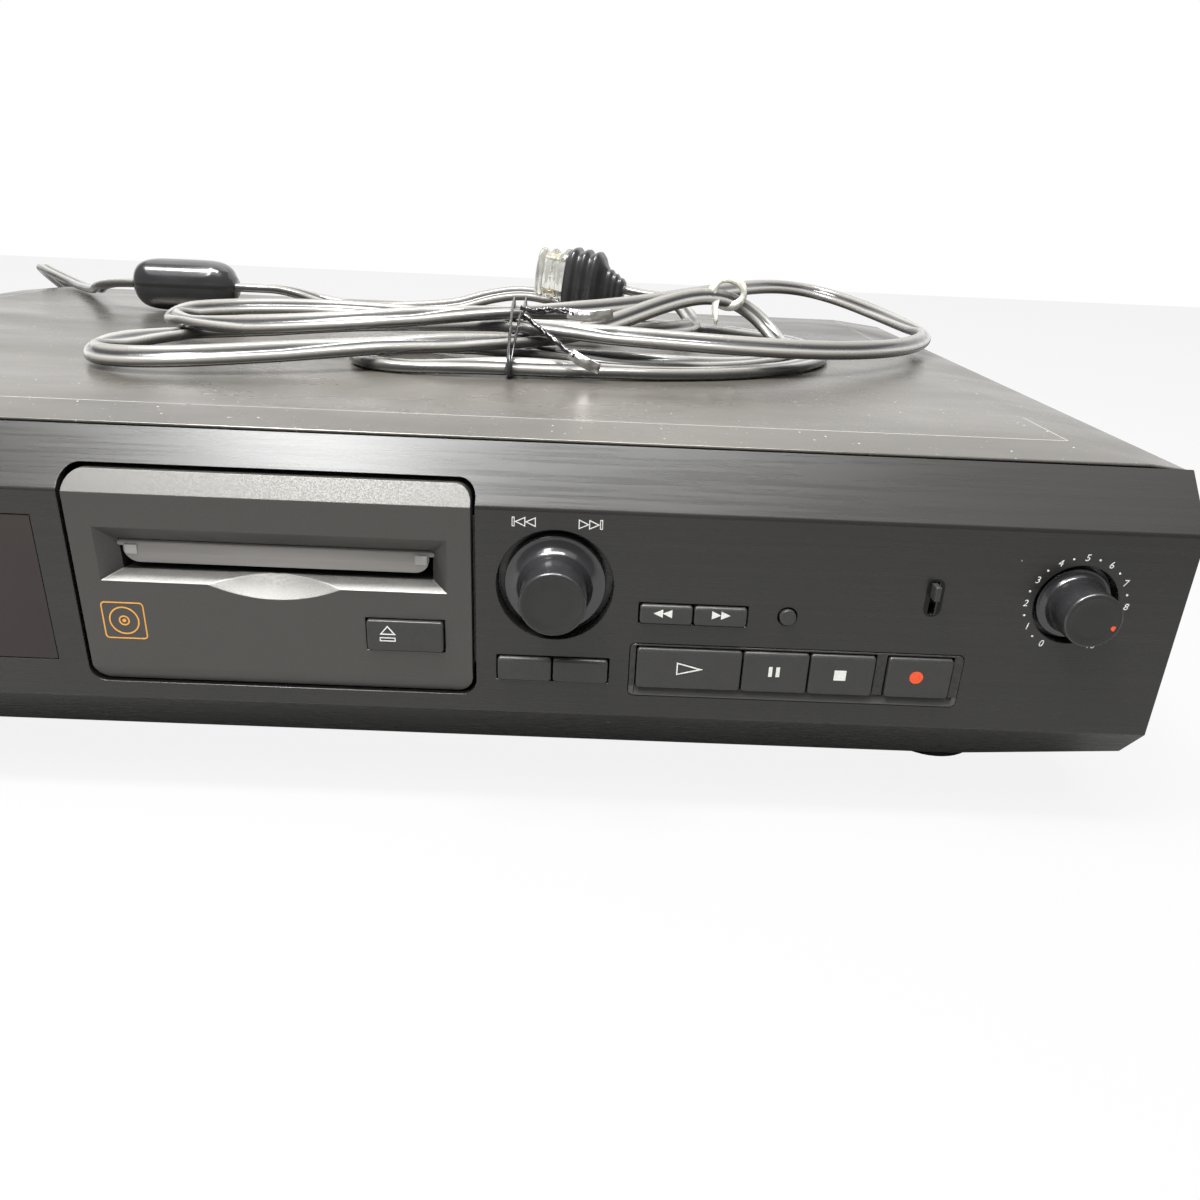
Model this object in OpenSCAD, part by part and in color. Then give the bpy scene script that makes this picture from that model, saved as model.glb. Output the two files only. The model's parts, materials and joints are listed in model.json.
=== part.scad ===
// Minidisc deck: a full-width hi-fi component with a slanted front panel, a spring-flap disc slot,
// a key tray, two knobs, a small disc mechanism inside, and its captive lead tied up on the cover.
// Millimetres. X to the right, Y backward from the panel's flat face, Z up from the feet.

/* [Panel] */
// Width of the front panel
panel_w = 430; // [425:1:450]
// Height of the panel's lower edge above the feet's soles
panel_bottom = 12.6; // [11:0.2:13.4]
// Height of the crease where the lower slanted band begins
lower_crease = 27.3; // [25:0.2:28]
// Height of the crease where the upper slanted band begins
upper_crease = 80; // [80:0.5:84]
// Height of the panel's top edge
panel_top = 92.6; // [92:0.1:92.8]
// How far back the upper band leans
upper_band_y = 11.5; // [9:0.5:12]
// How far back the lower band leans
lower_band_y = 12; // [9:0.5:12]
// Wall of the moulded panel
panel_wall = 2.8; // [2.4:0.1:3]
// Rise of the lower edge towards the ends
end_rise = 5; // [3:0.5:6]
// Length of the rising lower edge at each end
rise_w = 43; // [25:1:65]

/* [Casing] */
// How far the cover stands in from each end of the panel
cover_inset = 1; // [0.5:0.1:2]
// Height of the cover's flat top
cover_top = 95; // [94.8:0.1:97]
// Height of the cover's side folds
shoulder_z = 92.4; // [91:0.2:93]
// Width of the cover's sloped shoulders
shoulder_w = 22.5; // [18:0.5:29]
// Where the raised flat begins behind the panel
plateau_y = 26.6; // [24:0.2:30]
// Height of the cover's front lip
lip_z = 93.4; // [93.3:0.1:94]
// Where the cover begins behind the panel's flat face
cover_front = 12; // [12:0.1:13]
// Where the cover ends
cover_rear = 284; // [275:1:300]
// Thickness of the cover's sheet
sheet = 0.8; // [0.6:0.1:1]
// Height of the cover's lower edges
cover_bottom = 18; // [17.6:0.2:22]
// Height of the chassis above the feet's soles
foot_h = 14; // [13:0.5:16]
// Radius of a foot where it meets the chassis
foot_r = 15.5; // [12:0.5:17]
// Radius of a foot's sole
sole_r = 13.5; // [11:0.5:14]
// Distance of each foot's middle from the panel's end
foot_in = 37; // [36:1:65]
// Place of the front feet
foot_front_y = 43; // [38:1:60]
// Place of the rear feet, from the cover's rear edge
foot_rear_back = 34; // [25:1:50]
// Thickness of the chassis plate
plate = 1.2; // [1:0.1:1.6]
// Height of the chassis side flanges above the feet's soles
flange_top = 48; // [46:1:60]

/* [Slot] */
// Width of the surround round the disc slot
surround_w = 92.8; // [90:0.2:94]
// Gap round the surround
surround_gap = 0.9; // [0.5:0.1:1]
// Width of the slot's inner opening
mouth_w = 73.6; // [73:0.2:75]
// Lowest height of the slot's inner opening
mouth_z0 = 60.2; // [59.8:0.1:60.4]
// Highest height of the slot's inner opening
mouth_z1 = 66.9; // [66.4:0.1:67.2]
// How far the flared recess spreads beyond the opening at the face
flare = 3.9; // [3:0.1:5]
// Depth of the flared recess
flare_y = 4; // [3.6:0.1:4.4]
// Width of the flap
flap_w = 71.8; // [71:0.1:72.4]
// Height of the flap's hinge line
flap_hinge_z = 66.5; // [66.3:0.1:66.7]
// Depth of the flap's hinge line
flap_hinge_y = 4.6; // [4.6:0.1:5]
// Drop of the flap below its hinge line
flap_drop = 4.7; // [4:0.1:5]
// Radius of the flap's pins
flap_pin_r = 0.9; // [0.7:0.05:0.9]

/* [Controls] */
// How far the keys stand out of the panel
key_proud = 1; // [0.6:0.1:1.6]
// Travel of a key
key_travel = 0.8; // [0.5:0.1:0.9]
// Gap round each key
key_gap = 0.3; // [0.3:0.05:0.4]
// Height of the key row in the tray
tray_key_z = 35.9; // [35.6:0.1:36.4]
// Height of one key of the tray
tray_key_h = 10.6; // [10:0.1:10.8]
// Radius of the round display key
display_key_r = 2; // [1.6:0.1:2.6]
// Radius of the jog knob's cap
jog_cap_r = 7.7; // [7:0.1:8.5]
// Radius of the jog knob's skirt
jog_skirt_r = 12; // [11:0.1:12.8]
// Radius of the recess round the jog knob
jog_recess_r = 13.8; // [13.4:0.1:14]
// How far the jog knob stands out
jog_proud = 11.5; // [9:0.5:11.5]
// Travel of the jog knob's push
jog_travel = 1; // [0.6:0.1:1]
// Radius of the level knob's cap
level_cap_r = 6.7; // [6:0.1:7.2]
// Radius of the level knob's skirt
level_skirt_r = 8.8; // [8.2:0.1:9.2]
// Radius of the recess round the level knob
level_recess_r = 9.9; // [9.7:0.1:10.2]
// How far the level knob stands out
level_proud = 9.3; // [7:0.1:11]
// Width of the slots for the slide levers
lever_slot_w = 2; // [1.9:0.1:2.4]
// Height of the input lever's slot
input_slot_h = 8.4; // [8.4:0.1:9]
// Length of the timer lever's slot
timer_slot_l = 11.4; // [11.4:0.1:12.4]
// Length of a slide lever along its slot
lever_l = 3.6; // [3.4:0.1:3.8]
// Width of the power button
power_w = 22; // [18:0.5:23]
// Height of the power button
power_h = 9; // [7:0.5:10]
// Travel of the power button
power_travel = 3; // [2:0.5:3]
// Radius of the standby lamp
lamp_r = 1.5; // [1.2:0.1:2]

/* [Window] */
// Distance of the display window from the panel's left end
window_in = 45; // [43:1:55]
// Right edge of the display window
window_x1 = -54.3; // [-58:0.1:-54]
// Lower edge of the display window
window_z0 = 36.9; // [36.6:0.1:40]
// Upper edge of the display window
window_z1 = 73.9; // [68:0.1:74]

/* [Disc mechanism] */
// Width of a disc cartridge
disc_w = 72; // [71.8:0.1:72.2]
// Length of a disc cartridge
disc_l = 68; // [67.5:0.1:68.2]
// Thickness of a disc cartridge
disc_t = 5; // [4.8:0.05:5.1]
// How far the holder lowers the disc
holder_drop = 5; // [4:0.1:5]
// How far the load slider moves
slider_travel = 12; // [10:0.5:12]
// How far the pickup sled moves
sled_travel = 17; // [15:0.5:17]
// Radius of a sled rod
rod_r = 1.5; // [1.2:0.1:1.8]
// Running clearance of rods, pins and shafts in their bores
running = 0.05; // [0.03:0.01:0.08]
// Module of the gears' teeth
tooth_m = 1; // [0.9:0.05:1]
// Number of teeth on the sled gear
sled_teeth = 12; // [12:1:12]
// Number of teeth on the load gear
load_teeth = 10; // [10:1:10]
// Radius of the turntable
turntable_r = 8; // [7:0.1:8.4]
// Radius of the spindle motor
spindle_motor_r = 11; // [9:0.1:11.4]

/* [Boards and rear] */
// Thickness of a circuit board
board_t = 1.6; // [1.2:0.1:1.8]
// Height of the chassis stand-offs
standoff_h = 6.8; // [5:0.1:9]
// Radius of a rear socket's shell
rca_r = 4.15; // [4.1:0.05:4.2]
// How far a socket's shell stands out of the rear plate
rca_l = 8.5; // [8:0.1:9]
// Distance between two sockets
rca_pitch = 15; // [13:0.5:17]
// Width of the transformer's core
transformer_w = 60; // [50:1:66]
// Height of the transformer's core
transformer_h = 46; // [40:1:56]

/* [Lead] */
// Width of the flat twin lead
lead_w = 6.5; // [6.5:0.1:6.5]
// Thickness of the flat twin lead
lead_t = 3.4; // [3.4:0.1:3.4]
// Radius of the moulded filter
filter_r = 10.5; // [9:0.5:10.5]
// Length of the plug's ribbed body
plug_body = 15; // [12:0.5:17]

/* [Hidden] */
$fn = 48;
eps = 0.01;

// The middle of the object from the jog knob's tip to the rear sockets' ends.
rear_face = cover_rear - 1;
origin_y = (rear_face + rca_l - jog_proud) / 2;

// Colours, as the photograph shows them.
black_panel = [0.13, 0.125, 0.13];
dark_key = [0.2, 0.2, 0.21];
gloss_black = [0.05, 0.05, 0.055];
speckled_grey = [0.42, 0.41, 0.41];
warm_grey = [0.34, 0.32, 0.31];
window_red = [0.12, 0.03, 0.03];
smoke = [0.38, 0.35, 0.33, 0.75];
steel = [0.62, 0.62, 0.64];
board_green = [0.16, 0.32, 0.2];
cord_grey = [0.17, 0.17, 0.18];
clear = [0.85, 0.85, 0.8, 0.5];
brass_colour = [0.75, 0.62, 0.32];
lamp_red = [0.7, 0.1, 0.08];

// Places worked out from the driving sizes.
half_w = panel_w / 2;
cover_w = panel_w - 2 * cover_inset;
plateau_x = cover_w / 2 - shoulder_w;
rise_from = half_w - rise_w;
foot_x = half_w - foot_in;
window_x0 = window_in - half_w;
upper_tilt = atan(upper_band_y / (panel_top - upper_crease));
lower_tilt = atan(lower_band_y / (lower_crease - panel_bottom));
inner_upper = upper_crease - panel_wall * tan(upper_tilt / 2);
inner_lower = lower_crease + panel_wall * tan(lower_tilt / 2);
band_cut_y = panel_wall / cos(upper_tilt);
ledge_back = cover_front + 10;
ledge_top = lip_z - sheet - 0.4;
cover_in = cover_w / 2 - sheet;
board_y = panel_wall + 11.2;
plate_top = foot_h + plate;
pan_half = cover_in - 0.3;
pan_front = lower_band_y + panel_wall / cos(lower_tilt) + 0.4;
pan_rear = rear_face - plate - 0.3;
bracket_y = board_y + board_t + 2.4;
foot_rear_y = cover_rear - foot_rear_back;
fit_gap = 0.3;
foot_recess = 3.5;

board_z0 = 29;
board_z1 = 77;
low_board_z = 53;
board_foot_r = 2.5;

// Surround, recess and flap.
surround_half = surround_w / 2;
surround_z0 = 32;
surround_lower = surround_z0 + 3.8;
surround_step = 0.3;
surround_top = upper_crease + 4.3;
pocket_half = surround_half + surround_gap;
pocket_z0 = surround_z0 - 0.4;
pocket_z1 = surround_top + 1.1;
pocket_y1 = (pocket_z1 - upper_crease) * tan(upper_tilt);
surround_corner = 4;
surround_shell = pocket_y1 - 0.5;
mouth_half = mouth_w / 2;
chamber_z1 = flap_hinge_z + 1.8;
chamber_y1 = flap_hinge_y + flap_drop + 0.5;
throat_wall = 2.6;
flap_half = flap_w / 2;
pin_l = mouth_half + 1.6 - flap_half;
scoop_r = 39.2;
scoop_deep = 5.2;

// Keys: left edge, right edge, lower edge, upper edge, in millimetres on the panel.
key_row_z1 = tray_key_z + tray_key_h;
eject_key = [21.3, 39.6, 43.2, 51.1];
pair_x0 = surround_half + 6.2;
pair_x1 = 79.3;
pair_split = (pair_x0 + pair_x1) / 2 - 0.35;
edit_key = [pair_x0, pair_split, 36.55, 42.6];
confirm_key = [pair_split + 0.4, pair_x1, 36.55, 42.6];
rewind_key = [86.35, 98.8, 53.06, 57.8];
forward_key = [99.2, 111.7, 53.06, 57.8];
play_key = [86.3, 111.7, tray_key_z, key_row_z1];
pause_key = [112.1, 128.0, tray_key_z, key_row_z1];
stop_key = [128.4, 144.1, tray_key_z, key_row_z1];
record_key = [147.3, 163, tray_key_z, key_row_z1];
tray_side = 1.7;
tray_lip = 2.6;
tray_top_rail = 0.8;
tray_x0 = play_key[0] - tray_side;
tray_x1 = record_key[1] + tray_lip;
tray_z0 = tray_key_z - tray_lip;
tray_z1 = key_row_z1 + tray_top_rail;
tray_seat = 1.6;
display_key_at = [121.46, 55.9];
jog_at = [66, 61.4];
level_at = [half_w - 26, 61.8];
input_at = [half_w - 60, 62.2];
left_x = 20 - half_w;
timer_at = [left_x, 40];
power_at = [left_x, 69];
lamp_at = [left_x, 56];
flange_y0 = panel_wall + 0.3;
flange_t = 1;
stem_y1 = board_y - 5.3;
stem_r = 1.6;
tact_side = 6;
tact_t = 3.5;
tact_tip_y = stem_y1 + key_travel + 0.3;
jog_floor = 4.5;
jog_wall = 1.7;
jog_pin_r = 3;
level_floor = 3.5;
level_wall = 1.6;
shaft_r = 3;
lever_travel = input_slot_h - lever_l - 0.8;
timer_travel = (timer_slot_l - lever_l - 0.8) / 2;
lever_proud = 3;

// Mechanism.
holder_wall = 1;
holder_in_w = disc_w + 0.6;
holder_in_h = disc_t + 0.3;
holder_w = holder_in_w + 2 * holder_wall;
holder_h = holder_in_h + 2 * holder_wall;
holder_y0 = chamber_y1 + throat_wall - 0.2;
holder_y1 = holder_y0 + disc_l + 2;
holder_z0 = mouth_z0 - holder_wall;
holder_lip = 8;
base_z = 40;
base_t = 1.2;
base_top = base_z + base_t;
base_half = 50;
base_y0 = bracket_y + plate + 0.8;
base_y1 = 120;
spindle_y = holder_y0 + 36;
pin_z = holder_z0 + holder_h / 2;
holder_pin_r = 1.2;
pin_front_y = holder_y0 + 18;
pin_rear_y = holder_y0 + 54;
pin_slot_r = holder_pin_r + 0.35;
slider_x = -41.2;
slider_t = 1.2;
slider_z0 = 49;
slider_z1 = 66;
slider_y0 = pin_front_y - 6;
slider_y1 = pin_rear_y + slider_travel + 8;
load_r = load_teeth * tooth_m / 2;
rack_line = slider_z0 - tooth_m;
load_gear_at = [slider_x + slider_t / 2, pin_front_y + 32, rack_line - load_r];
motor_r = 3.2;
sled_x0 = spindle_motor_r + 0.6;
sled_l = 16;
sled_half_y = 18;
sled_z0 = base_top + 3.3;
sled_h = 7;
rod_dy = sled_half_y - 4;
rod_z = sled_z0 + 3;
rod_x0 = -16;
sled_r = sled_teeth * tooth_m / 2;
sled_rack_y = spindle_y + sled_half_y + tooth_m;
sled_gear_at = [sled_x0 + sled_l - 1, sled_rack_y + sled_r];
sled_gear_z = sled_z0 + 0.5;
gear_t = 3;
backlash = 0.25;
arm_reach = sled_half_y + 22;
arm_y = spindle_y + arm_reach;
arm_z = holder_z0 + holder_h + 5.5;
arm_w = 8;
wall_x = base_half - base_t;

// Boards, sockets and the lead's gland.
board_z = plate_top + standoff_h;
board_top = board_z + board_t;
main_board_box = [60, 62, pan_half - 7.9, rear_face - 14];
power_board_box = [10.9 - pan_half, 62, -70, 180];
transformer_at = [-150, 225];
socket_at = [half_w - 65, 42];
optical_at = socket_at - [24, 0];
optical_side = 10;
gland_at = [-185, 40];
gland_r = 6;
gland_rear = 8;

// Route of the lead from the gland over the rear edge to the filter, then on to the hank.
lead_over = [[-185, 291, 40], [-185, 298, 40], [-186, 313, 42], [-191, 328, 51], [-201, 337, 66],
    [-213, 335, 83], [-220, 323, 96], [-214, 306, 102], [-201, 291, 101], [-186, 277, 99],
    [-172, 262, 98], [-149, 230, 100], [-142, 219.2, 102.3], [-136, 212.5, 104],
    [-128.5, 208.4, 105.2], [-122.7, 207.1, 105.6], [-120, 207, 105.6]];
lead_to_hank = [[-78, 207, 105.6], [-71, 207, 105.6], [-58, 209, 105], [-44, 213, 101],
    [-28, 217, 98], [8, 223, 100], [24, 228, 104], [40, 232, 106], [58, 233, 103],
    [76, 229, 98.5], [96, 220, 97], [118, 209, 97], [138, 194, 97], [151, 174, 97], [155, 152, 97],
    [150, 130, 97], [137, 111, 97], [118, 97, 97], [96, 89, 97], [72, 85, 97.6], [48, 83, 98.2],
    [30, 82, 97.6], [18, 82.5, 97], [8, 85, 97], [1, 92, 97], [-2, 102.5, 97], [1, 113, 97],
    [8, 120, 97], [17, 122.5, 97]];
filter_x0 = -120;
filter_x1 = -78;
filter_at = [207, 105.6];

// The hank: lobes to the right and left of its tied waist, in turn. Each has its reach from the
// waist, its tip's place, its fullness, its height, the rise of its return and that return's bulge.
waist_x = 48;
lobe_reach = [95, 124, 157, 122, 64];
lobe_tip_y = [150, 86, 194, 138, 191];
lobe_full = [0.48, 0.48, 0.45, 0.44, 0.64];
lobe_z = [97, 99, 101, 103, 101];
lobe_rise = [16, 0, 8.5, 0, 8.6];
lobe_bulge = [10, 0, 66, 0, 0];
waist_y = [113, 106, 109, 112, 158, 198];
waist_z = [98.2, 102.4, 106.6, 110.8, 101, 101];
hank_step = 15;
hank_turn = 855;
hank_tail = 10;

// ---- helpers ------------------------------------------------------------------------------
// The whole object stands with the middle of its depth at the origin.
module deck() {
    translate([0, -origin_y, 0])
        children();
}

// An outline drawn in X and Z, solid from y0 back to y1.
module facing(y0, y1) {
    translate([0, y1, 0])
        rotate([90, 0, 0])
            linear_extrude(y1 - y0)
                children();
}

// An outline drawn in Y and Z, solid from x0 to x1.
module across(x0, x1) {
    translate([x0, 0, 0])
        rotate([90, 0, 90])
            linear_extrude(x1 - x0)
                children();
}

// An outline drawn in X and Y, solid from z0 up to z1.
module lying(z0, z1) {
    translate([0, 0, z0])
        linear_extrude(z1 - z0)
            children();
}

module box2(x0, x1, y0, y1) {
    translate([x0, y0])
        square([x1 - x0, y1 - y0]);
}

module round_box(x0, x1, y0, y1, r) {
    box2(x0 + r, x1 - r, y0, y1);
    box2(x0, x1, y0 + r, y1 - r);
    for (x = [x0 + r, x1 - r], y = [y0 + r, y1 - r])
        translate([x, y])
            circle(r);
}

// A rounded slot between two points.
module capsule(a, b, r) {
    way = atan2(b[1] - a[1], b[0] - a[0]);
    turn = 15;
    polygon([for (e = [[b, way - 90], [a, way + 90]]) for (i = [0:180 / turn])
        e[0] + r * [cos(e[1] + turn * i), sin(e[1] + turn * i)]]);
}

// A round bar along Y at a place on the panel.
module bar_y(at, r, y0, y1) {
    translate([at[0], y1, at[1]])
        rotate([90, 0, 0])
            cylinder(h = y1 - y0, r = r);
}

module bar_x(at, r, x0, x1) {
    translate([x0, at[0], at[1]])
        rotate([0, 90, 0])
            cylinder(h = x1 - x0, r = r);
}

module bar_z(at, r, z0, z1) {
    translate([at[0], at[1], z0])
        cylinder(h = z1 - z0, r = r);
}

module block(a, b) {
    translate(a)
        cube(b - a);
}

// ---- casing -------------------------------------------------------------------------------
module panel_profile() {
    polygon([[0, lower_crease], [0, upper_crease], [upper_band_y, panel_top],
        [cover_front - 0.3, panel_top], [cover_front - 0.3, ledge_top], [ledge_back, ledge_top],
        [ledge_back, panel_bottom - 1], [lower_band_y + 1, panel_bottom - 1],
        [lower_band_y, panel_bottom]]);
}

module panel_hollow() {
    ledge = ledge_top - 1.6;
    top_y = panel_wall + (ledge - inner_upper) * tan(upper_tilt);
    low_y = panel_wall + (inner_lower - panel_bottom) * tan(lower_tilt);
    polygon([[panel_wall, inner_lower], [panel_wall, inner_upper], [top_y, ledge],
        [ledge_back + 1, ledge], [ledge_back + 1, panel_bottom - 2], [low_y, panel_bottom - 2],
        [low_y, panel_bottom]]);
}

// The panel's outline from the front, with its lower corners drawn up towards the ends.
module panel_outline() {
    polygon([[-half_w, panel_top + 1], [-half_w, panel_bottom + end_rise],
        [-rise_from, panel_bottom], [rise_from, panel_bottom],
        [half_w, panel_bottom + end_rise], [half_w, panel_top + 1]]);
}

module key_hole(k) {
    facing(-1, panel_wall + 1)
        box2(k[0] - key_gap, k[1] + key_gap, k[2] - key_gap, k[3] + key_gap);
}

board_feet = [[56, 32], [84.5, 73], [half_w - 47, 74], [half_w - 43, 32], [half_w - 12, 36],
    [-58, 32], [-115, 32], [38 - half_w, 32], [38 - half_w, 73]];

module front_panel() {
    tongue_x = cover_in - fit_gap;
    color(black_panel)
    difference() {
        union() {
            intersection() {
                difference() {
                    across(-half_w, half_w)
                        panel_profile();
                    across(-half_w + 4, half_w - 4)
                        panel_hollow();
                }
                facing(-1, ledge_back + 1)
                    panel_outline();
            }
            bar_y(jog_at, jog_recess_r + jog_wall, 1, jog_floor + jog_wall);
            bar_y(level_at, level_recess_r + level_wall, 1, level_floor + level_wall);
            for (p = board_feet)
                bar_y(p, board_foot_r, panel_wall - 0.5, board_y);
        }
        // room for the cover's sides and sloped shoulders
        for (s = [-1, 1])
            facing(cover_front - fit_gap, ledge_back + 2)
                polygon([[s * plateau_x, cover_top - sheet - fit_gap],
                    [s * tongue_x, shoulder_z - sheet - fit_gap], [s * tongue_x, -1],
                    [s * (half_w + 1), -1], [s * (half_w + 1), cover_top + 1],
                    [s * plateau_x, cover_top + 1]]);
        // pocket for the slot surround
        facing(-1, 30)
            round_box(-pocket_half, pocket_half, pocket_z0, pocket_z1, surround_corner);
        // display window and lamp
        facing(-1, panel_wall + 1)
            box2(window_x0, window_x1, window_z0, window_z1);
        bar_y(lamp_at, lamp_r + 0.1, -1, panel_wall + 1);
        // key tray seat and the keys' holes
        facing(-1, tray_seat)
            round_box(tray_x0 - 0.1, tray_x1 + 0.1, tray_z0 - 0.1, tray_z1 + 0.1, 1.5);
        for (k = [edit_key, confirm_key, rewind_key, forward_key, play_key, pause_key, stop_key,
            record_key])
            key_hole(k);
        bar_y(display_key_at, display_key_r + key_gap, -1, panel_wall + 1);
        // knob recesses and their shaft holes
        bar_y(jog_at, jog_recess_r, -1, jog_floor);
        bar_y(jog_at, jog_pin_r + 1.2, 0, jog_floor + jog_wall + 1);
        bar_y(level_at, level_recess_r, -1, level_floor);
        bar_y(level_at, shaft_r + 0.5, 0, level_floor + level_wall + 1);
        // slide levers and the power button
        facing(-1, panel_wall + 1) {
            translate(input_at)
                box2(-lever_slot_w / 2, lever_slot_w / 2, -input_slot_h / 2, input_slot_h / 2);
            translate(timer_at)
                box2(-timer_slot_l / 2, timer_slot_l / 2, -lever_slot_w / 2, lever_slot_w / 2);
            translate(power_at)
                round_box(-power_w / 2 - key_gap, power_w / 2 + key_gap, -power_h / 2 - key_gap,
                    power_h / 2 + key_gap, 2);
        }
    }
}

module surround_profile(deep) {
    polygon([[surround_step + 0.9, surround_z0], [0, surround_lower], [0, upper_crease - 0.3],
        [pocket_y1 - 0.9, surround_top], [deep, surround_top], [deep, surround_z0]]);
}

module flare_cut() {
    d = 1;
    k = (flare_y + d) / flare_y;
    rise = 1.9;
    fall = 4.7;
    intersection() {
        lying(40, 90)
            polygon([[-mouth_half - flare * k, -d], [mouth_half + flare * k, -d],
                [mouth_half, flare_y], [-mouth_half, flare_y]]);
        across(-60, 60)
            polygon([[-d, mouth_z0 - rise * k], [-d, mouth_z1 + fall * k],
                [flare_y, mouth_z1], [flare_y, mouth_z0]]);
    }
}

module slot_surround() {
    shell = surround_shell;
    color(speckled_grey)
    difference() {
        union() {
            intersection() {
                union() {
                    across(-surround_half, surround_half)
                        surround_profile(shell);
                    across(-surround_half, surround_half)
                        intersection() {
                            surround_profile(chamber_y1 + throat_wall - 0.6);
                            box2(0, 30, mouth_z0 - throat_wall - 2, surround_top);
                        }
                }
                facing(-1, 30)
                    round_box(-surround_half, surround_half, surround_z0, surround_top,
                        surround_corner);
            }
            // fixing flanges behind the panel
            for (s = [-1, 1])
                translate([s * (surround_half + 0.6), panel_wall + 0.2 + flange_t / 2, 58])
                    cube([5.6, flange_t, 38], center = true);
        }
        flare_cut();
        // thumb scoop below the slot
        intersection() {
            translate([0, flare_y, mouth_z0 - scoop_deep + scoop_r])
                rotate([90, 0, 0])
                    cylinder(h = flare_y * 1.25, r1 = scoop_r - scoop_deep,
                        r2 = scoop_r + scoop_deep * 0.25, $fn = 96);
            block([-30, -1, mouth_z0 - 10], [30, flare_y, mouth_z0 + 2]);
        }
        // throat for the disc and the swing room of the flap
        block([-mouth_half, flap_hinge_y - 1.4, mouth_z0], [mouth_half, 30, chamber_z1]);
        // hollow above the throat
        block([-surround_half + 3, panel_wall + 3, chamber_z1 + 2], [surround_half - 3, 30,
            surround_top - 3]);
        bar_x([flap_hinge_y, flap_hinge_z], flap_pin_r + running, -flap_half - pin_l - 0.3,
            flap_half + pin_l + 0.3);
        // eject key
        facing(-1, 12)
            box2(eject_key[0] - key_gap, eject_key[1] + key_gap, eject_key[2] - key_gap,
                eject_key[3] + key_gap);
    }
}

module slot_flap() {
    hy = flap_hinge_y;
    hz = flap_hinge_z;
    r = 3.4;
    color(smoke) {
        difference() {
            across(-flap_half, flap_half)
                polygon([[hy - 0.7, hz - flap_drop], [hy - 1.2, hz - flap_drop * 0.42],
                    [hy - 0.8, hz + 0.5], [hy, hz + 0.5], [hy, hz - flap_drop]]);
            // rounded lower corners
            for (s = [-1, 1])
                facing(0, 9)
                    difference() {
                        translate([s * flap_half, hz - flap_drop])
                            square(2 * r, center = true);
                        translate([s * (flap_half - r), hz - flap_drop + r])
                            circle(r);
                    }
        }
        bar_x([hy, hz], flap_pin_r, -flap_half - pin_l, flap_half + pin_l);
    }
}

module display_window() {
    color(window_red) {
        facing(0.1, panel_wall)
            box2(window_x0 + 0.15, window_x1 - 0.15, window_z0 + 0.15, window_z1 - 0.15);
        facing(panel_wall, panel_wall + 1)
            box2(window_x0 - 1.8, window_x1 + 1.8, window_z0 - 1.8, window_z1 + 1.8);
    }
}

module key_tray() {
    color(warm_grey)
    difference() {
        facing(-0.2, tray_seat)
            round_box(tray_x0, tray_x1, tray_z0, tray_z1, 1.4);
        facing(-1, tray_seat + 1) {
            box2(play_key[0] - key_gap, stop_key[1] + key_gap, tray_key_z - key_gap,
                key_row_z1 + key_gap);
            box2(record_key[0] - key_gap, record_key[1] + key_gap, tray_key_z - key_gap,
                key_row_z1 + key_gap);
        }
        // sloped lower lip
        across(tray_x0 + 1.2, tray_x1 - 1.2)
            polygon([[-1, tray_z0 + 0.2], [-0.2, tray_z0 + 0.5], [tray_seat - 0.5, tray_key_z],
                [-1, tray_key_z]]);
    }
}

module pan_profile(inset, top) {
    w = pan_half - inset;
    z = foot_h + inset;
    slope_x = pan_half - 17.9;
    polygon([[-w, top], [-w, z + 3.2], [-slope_x, z], [slope_x, z], [w, z + 3.2], [w, top]]);
}

module chassis_pan() {
    color(steel)
    difference() {
        union() {
            difference() {
                facing(ledge_back + 1, pan_rear)
                    pan_profile(0, flange_top);
                facing(ledge_back, pan_rear + 1)
                    pan_profile(plate, flange_top + 1);
            }
            // front tongue below the control boards
            facing(pan_front, ledge_back + 1)
                box2(-pan_half + 18, pan_half - 18, foot_h, plate_top);
            // rear flange
            facing(pan_rear - plate, pan_rear)
                box2(-pan_half + 18, pan_half - 18, plate_top - 0.1, 30);
            // board and transformer stand-offs
            for (p = standoffs)
                bar_z(p, 3, plate_top - 0.1, board_z);
        }
        for (s = [-1, 1], y = [foot_front_y, foot_rear_y])
            bar_z([s * foot_x, y], 1.7, 0, 30);
        for (s = [-1, 1], y = side_screw_y)
            bar_x([y, side_screw_z], 1.7, s * pan_half - 10, s * pan_half + 10);
        for (x = rear_screw_x)
            bar_y([x, rear_screw_z], 1.7, pan_rear - 10, pan_rear + 1);
    }
}

standoffs = [for (b = [main_board_box, power_board_box]) for (x = [b[0] + 6, b[2] - 6],
    y = [b[1] + 6, b[3] - 6]) [x, y]];
side_screw_y = [60, 230];
side_screw_z = 38;
rear_screw_x = [-100, 0, 90];
rear_screw_z = 24;

// The cover's outer form, drawn in by a distance.
module cover_form(inset) {
    w = cover_w / 2 - inset;
    z = cover_top - inset;
    lip = lip_z - inset;
    side = shoulder_z - inset;
    intersection() {
        facing(cover_front, cover_rear)
            polygon([[-w, 0], [-w, side], [-plateau_x, z], [plateau_x, z], [w, side], [w, 0]]);
        across(-w, w)
            polygon([[cover_front, 0], [cover_front, lip], [plateau_y, z], [cover_rear, z],
                [cover_rear, 0]]);
    }
}

module top_cover() {
    color([0.3, 0.29, 0.28])
    difference() {
        cover_form(0);
        cover_hollow();
        block([-half_w, 0, -1], [half_w, cover_rear + 5, cover_bottom]);
        for (s = [-1, 1], y = side_screw_y)
            bar_x([y, side_screw_z], 1.7, s * cover_in - 10, s * cover_in + 10);
    }
}

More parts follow.
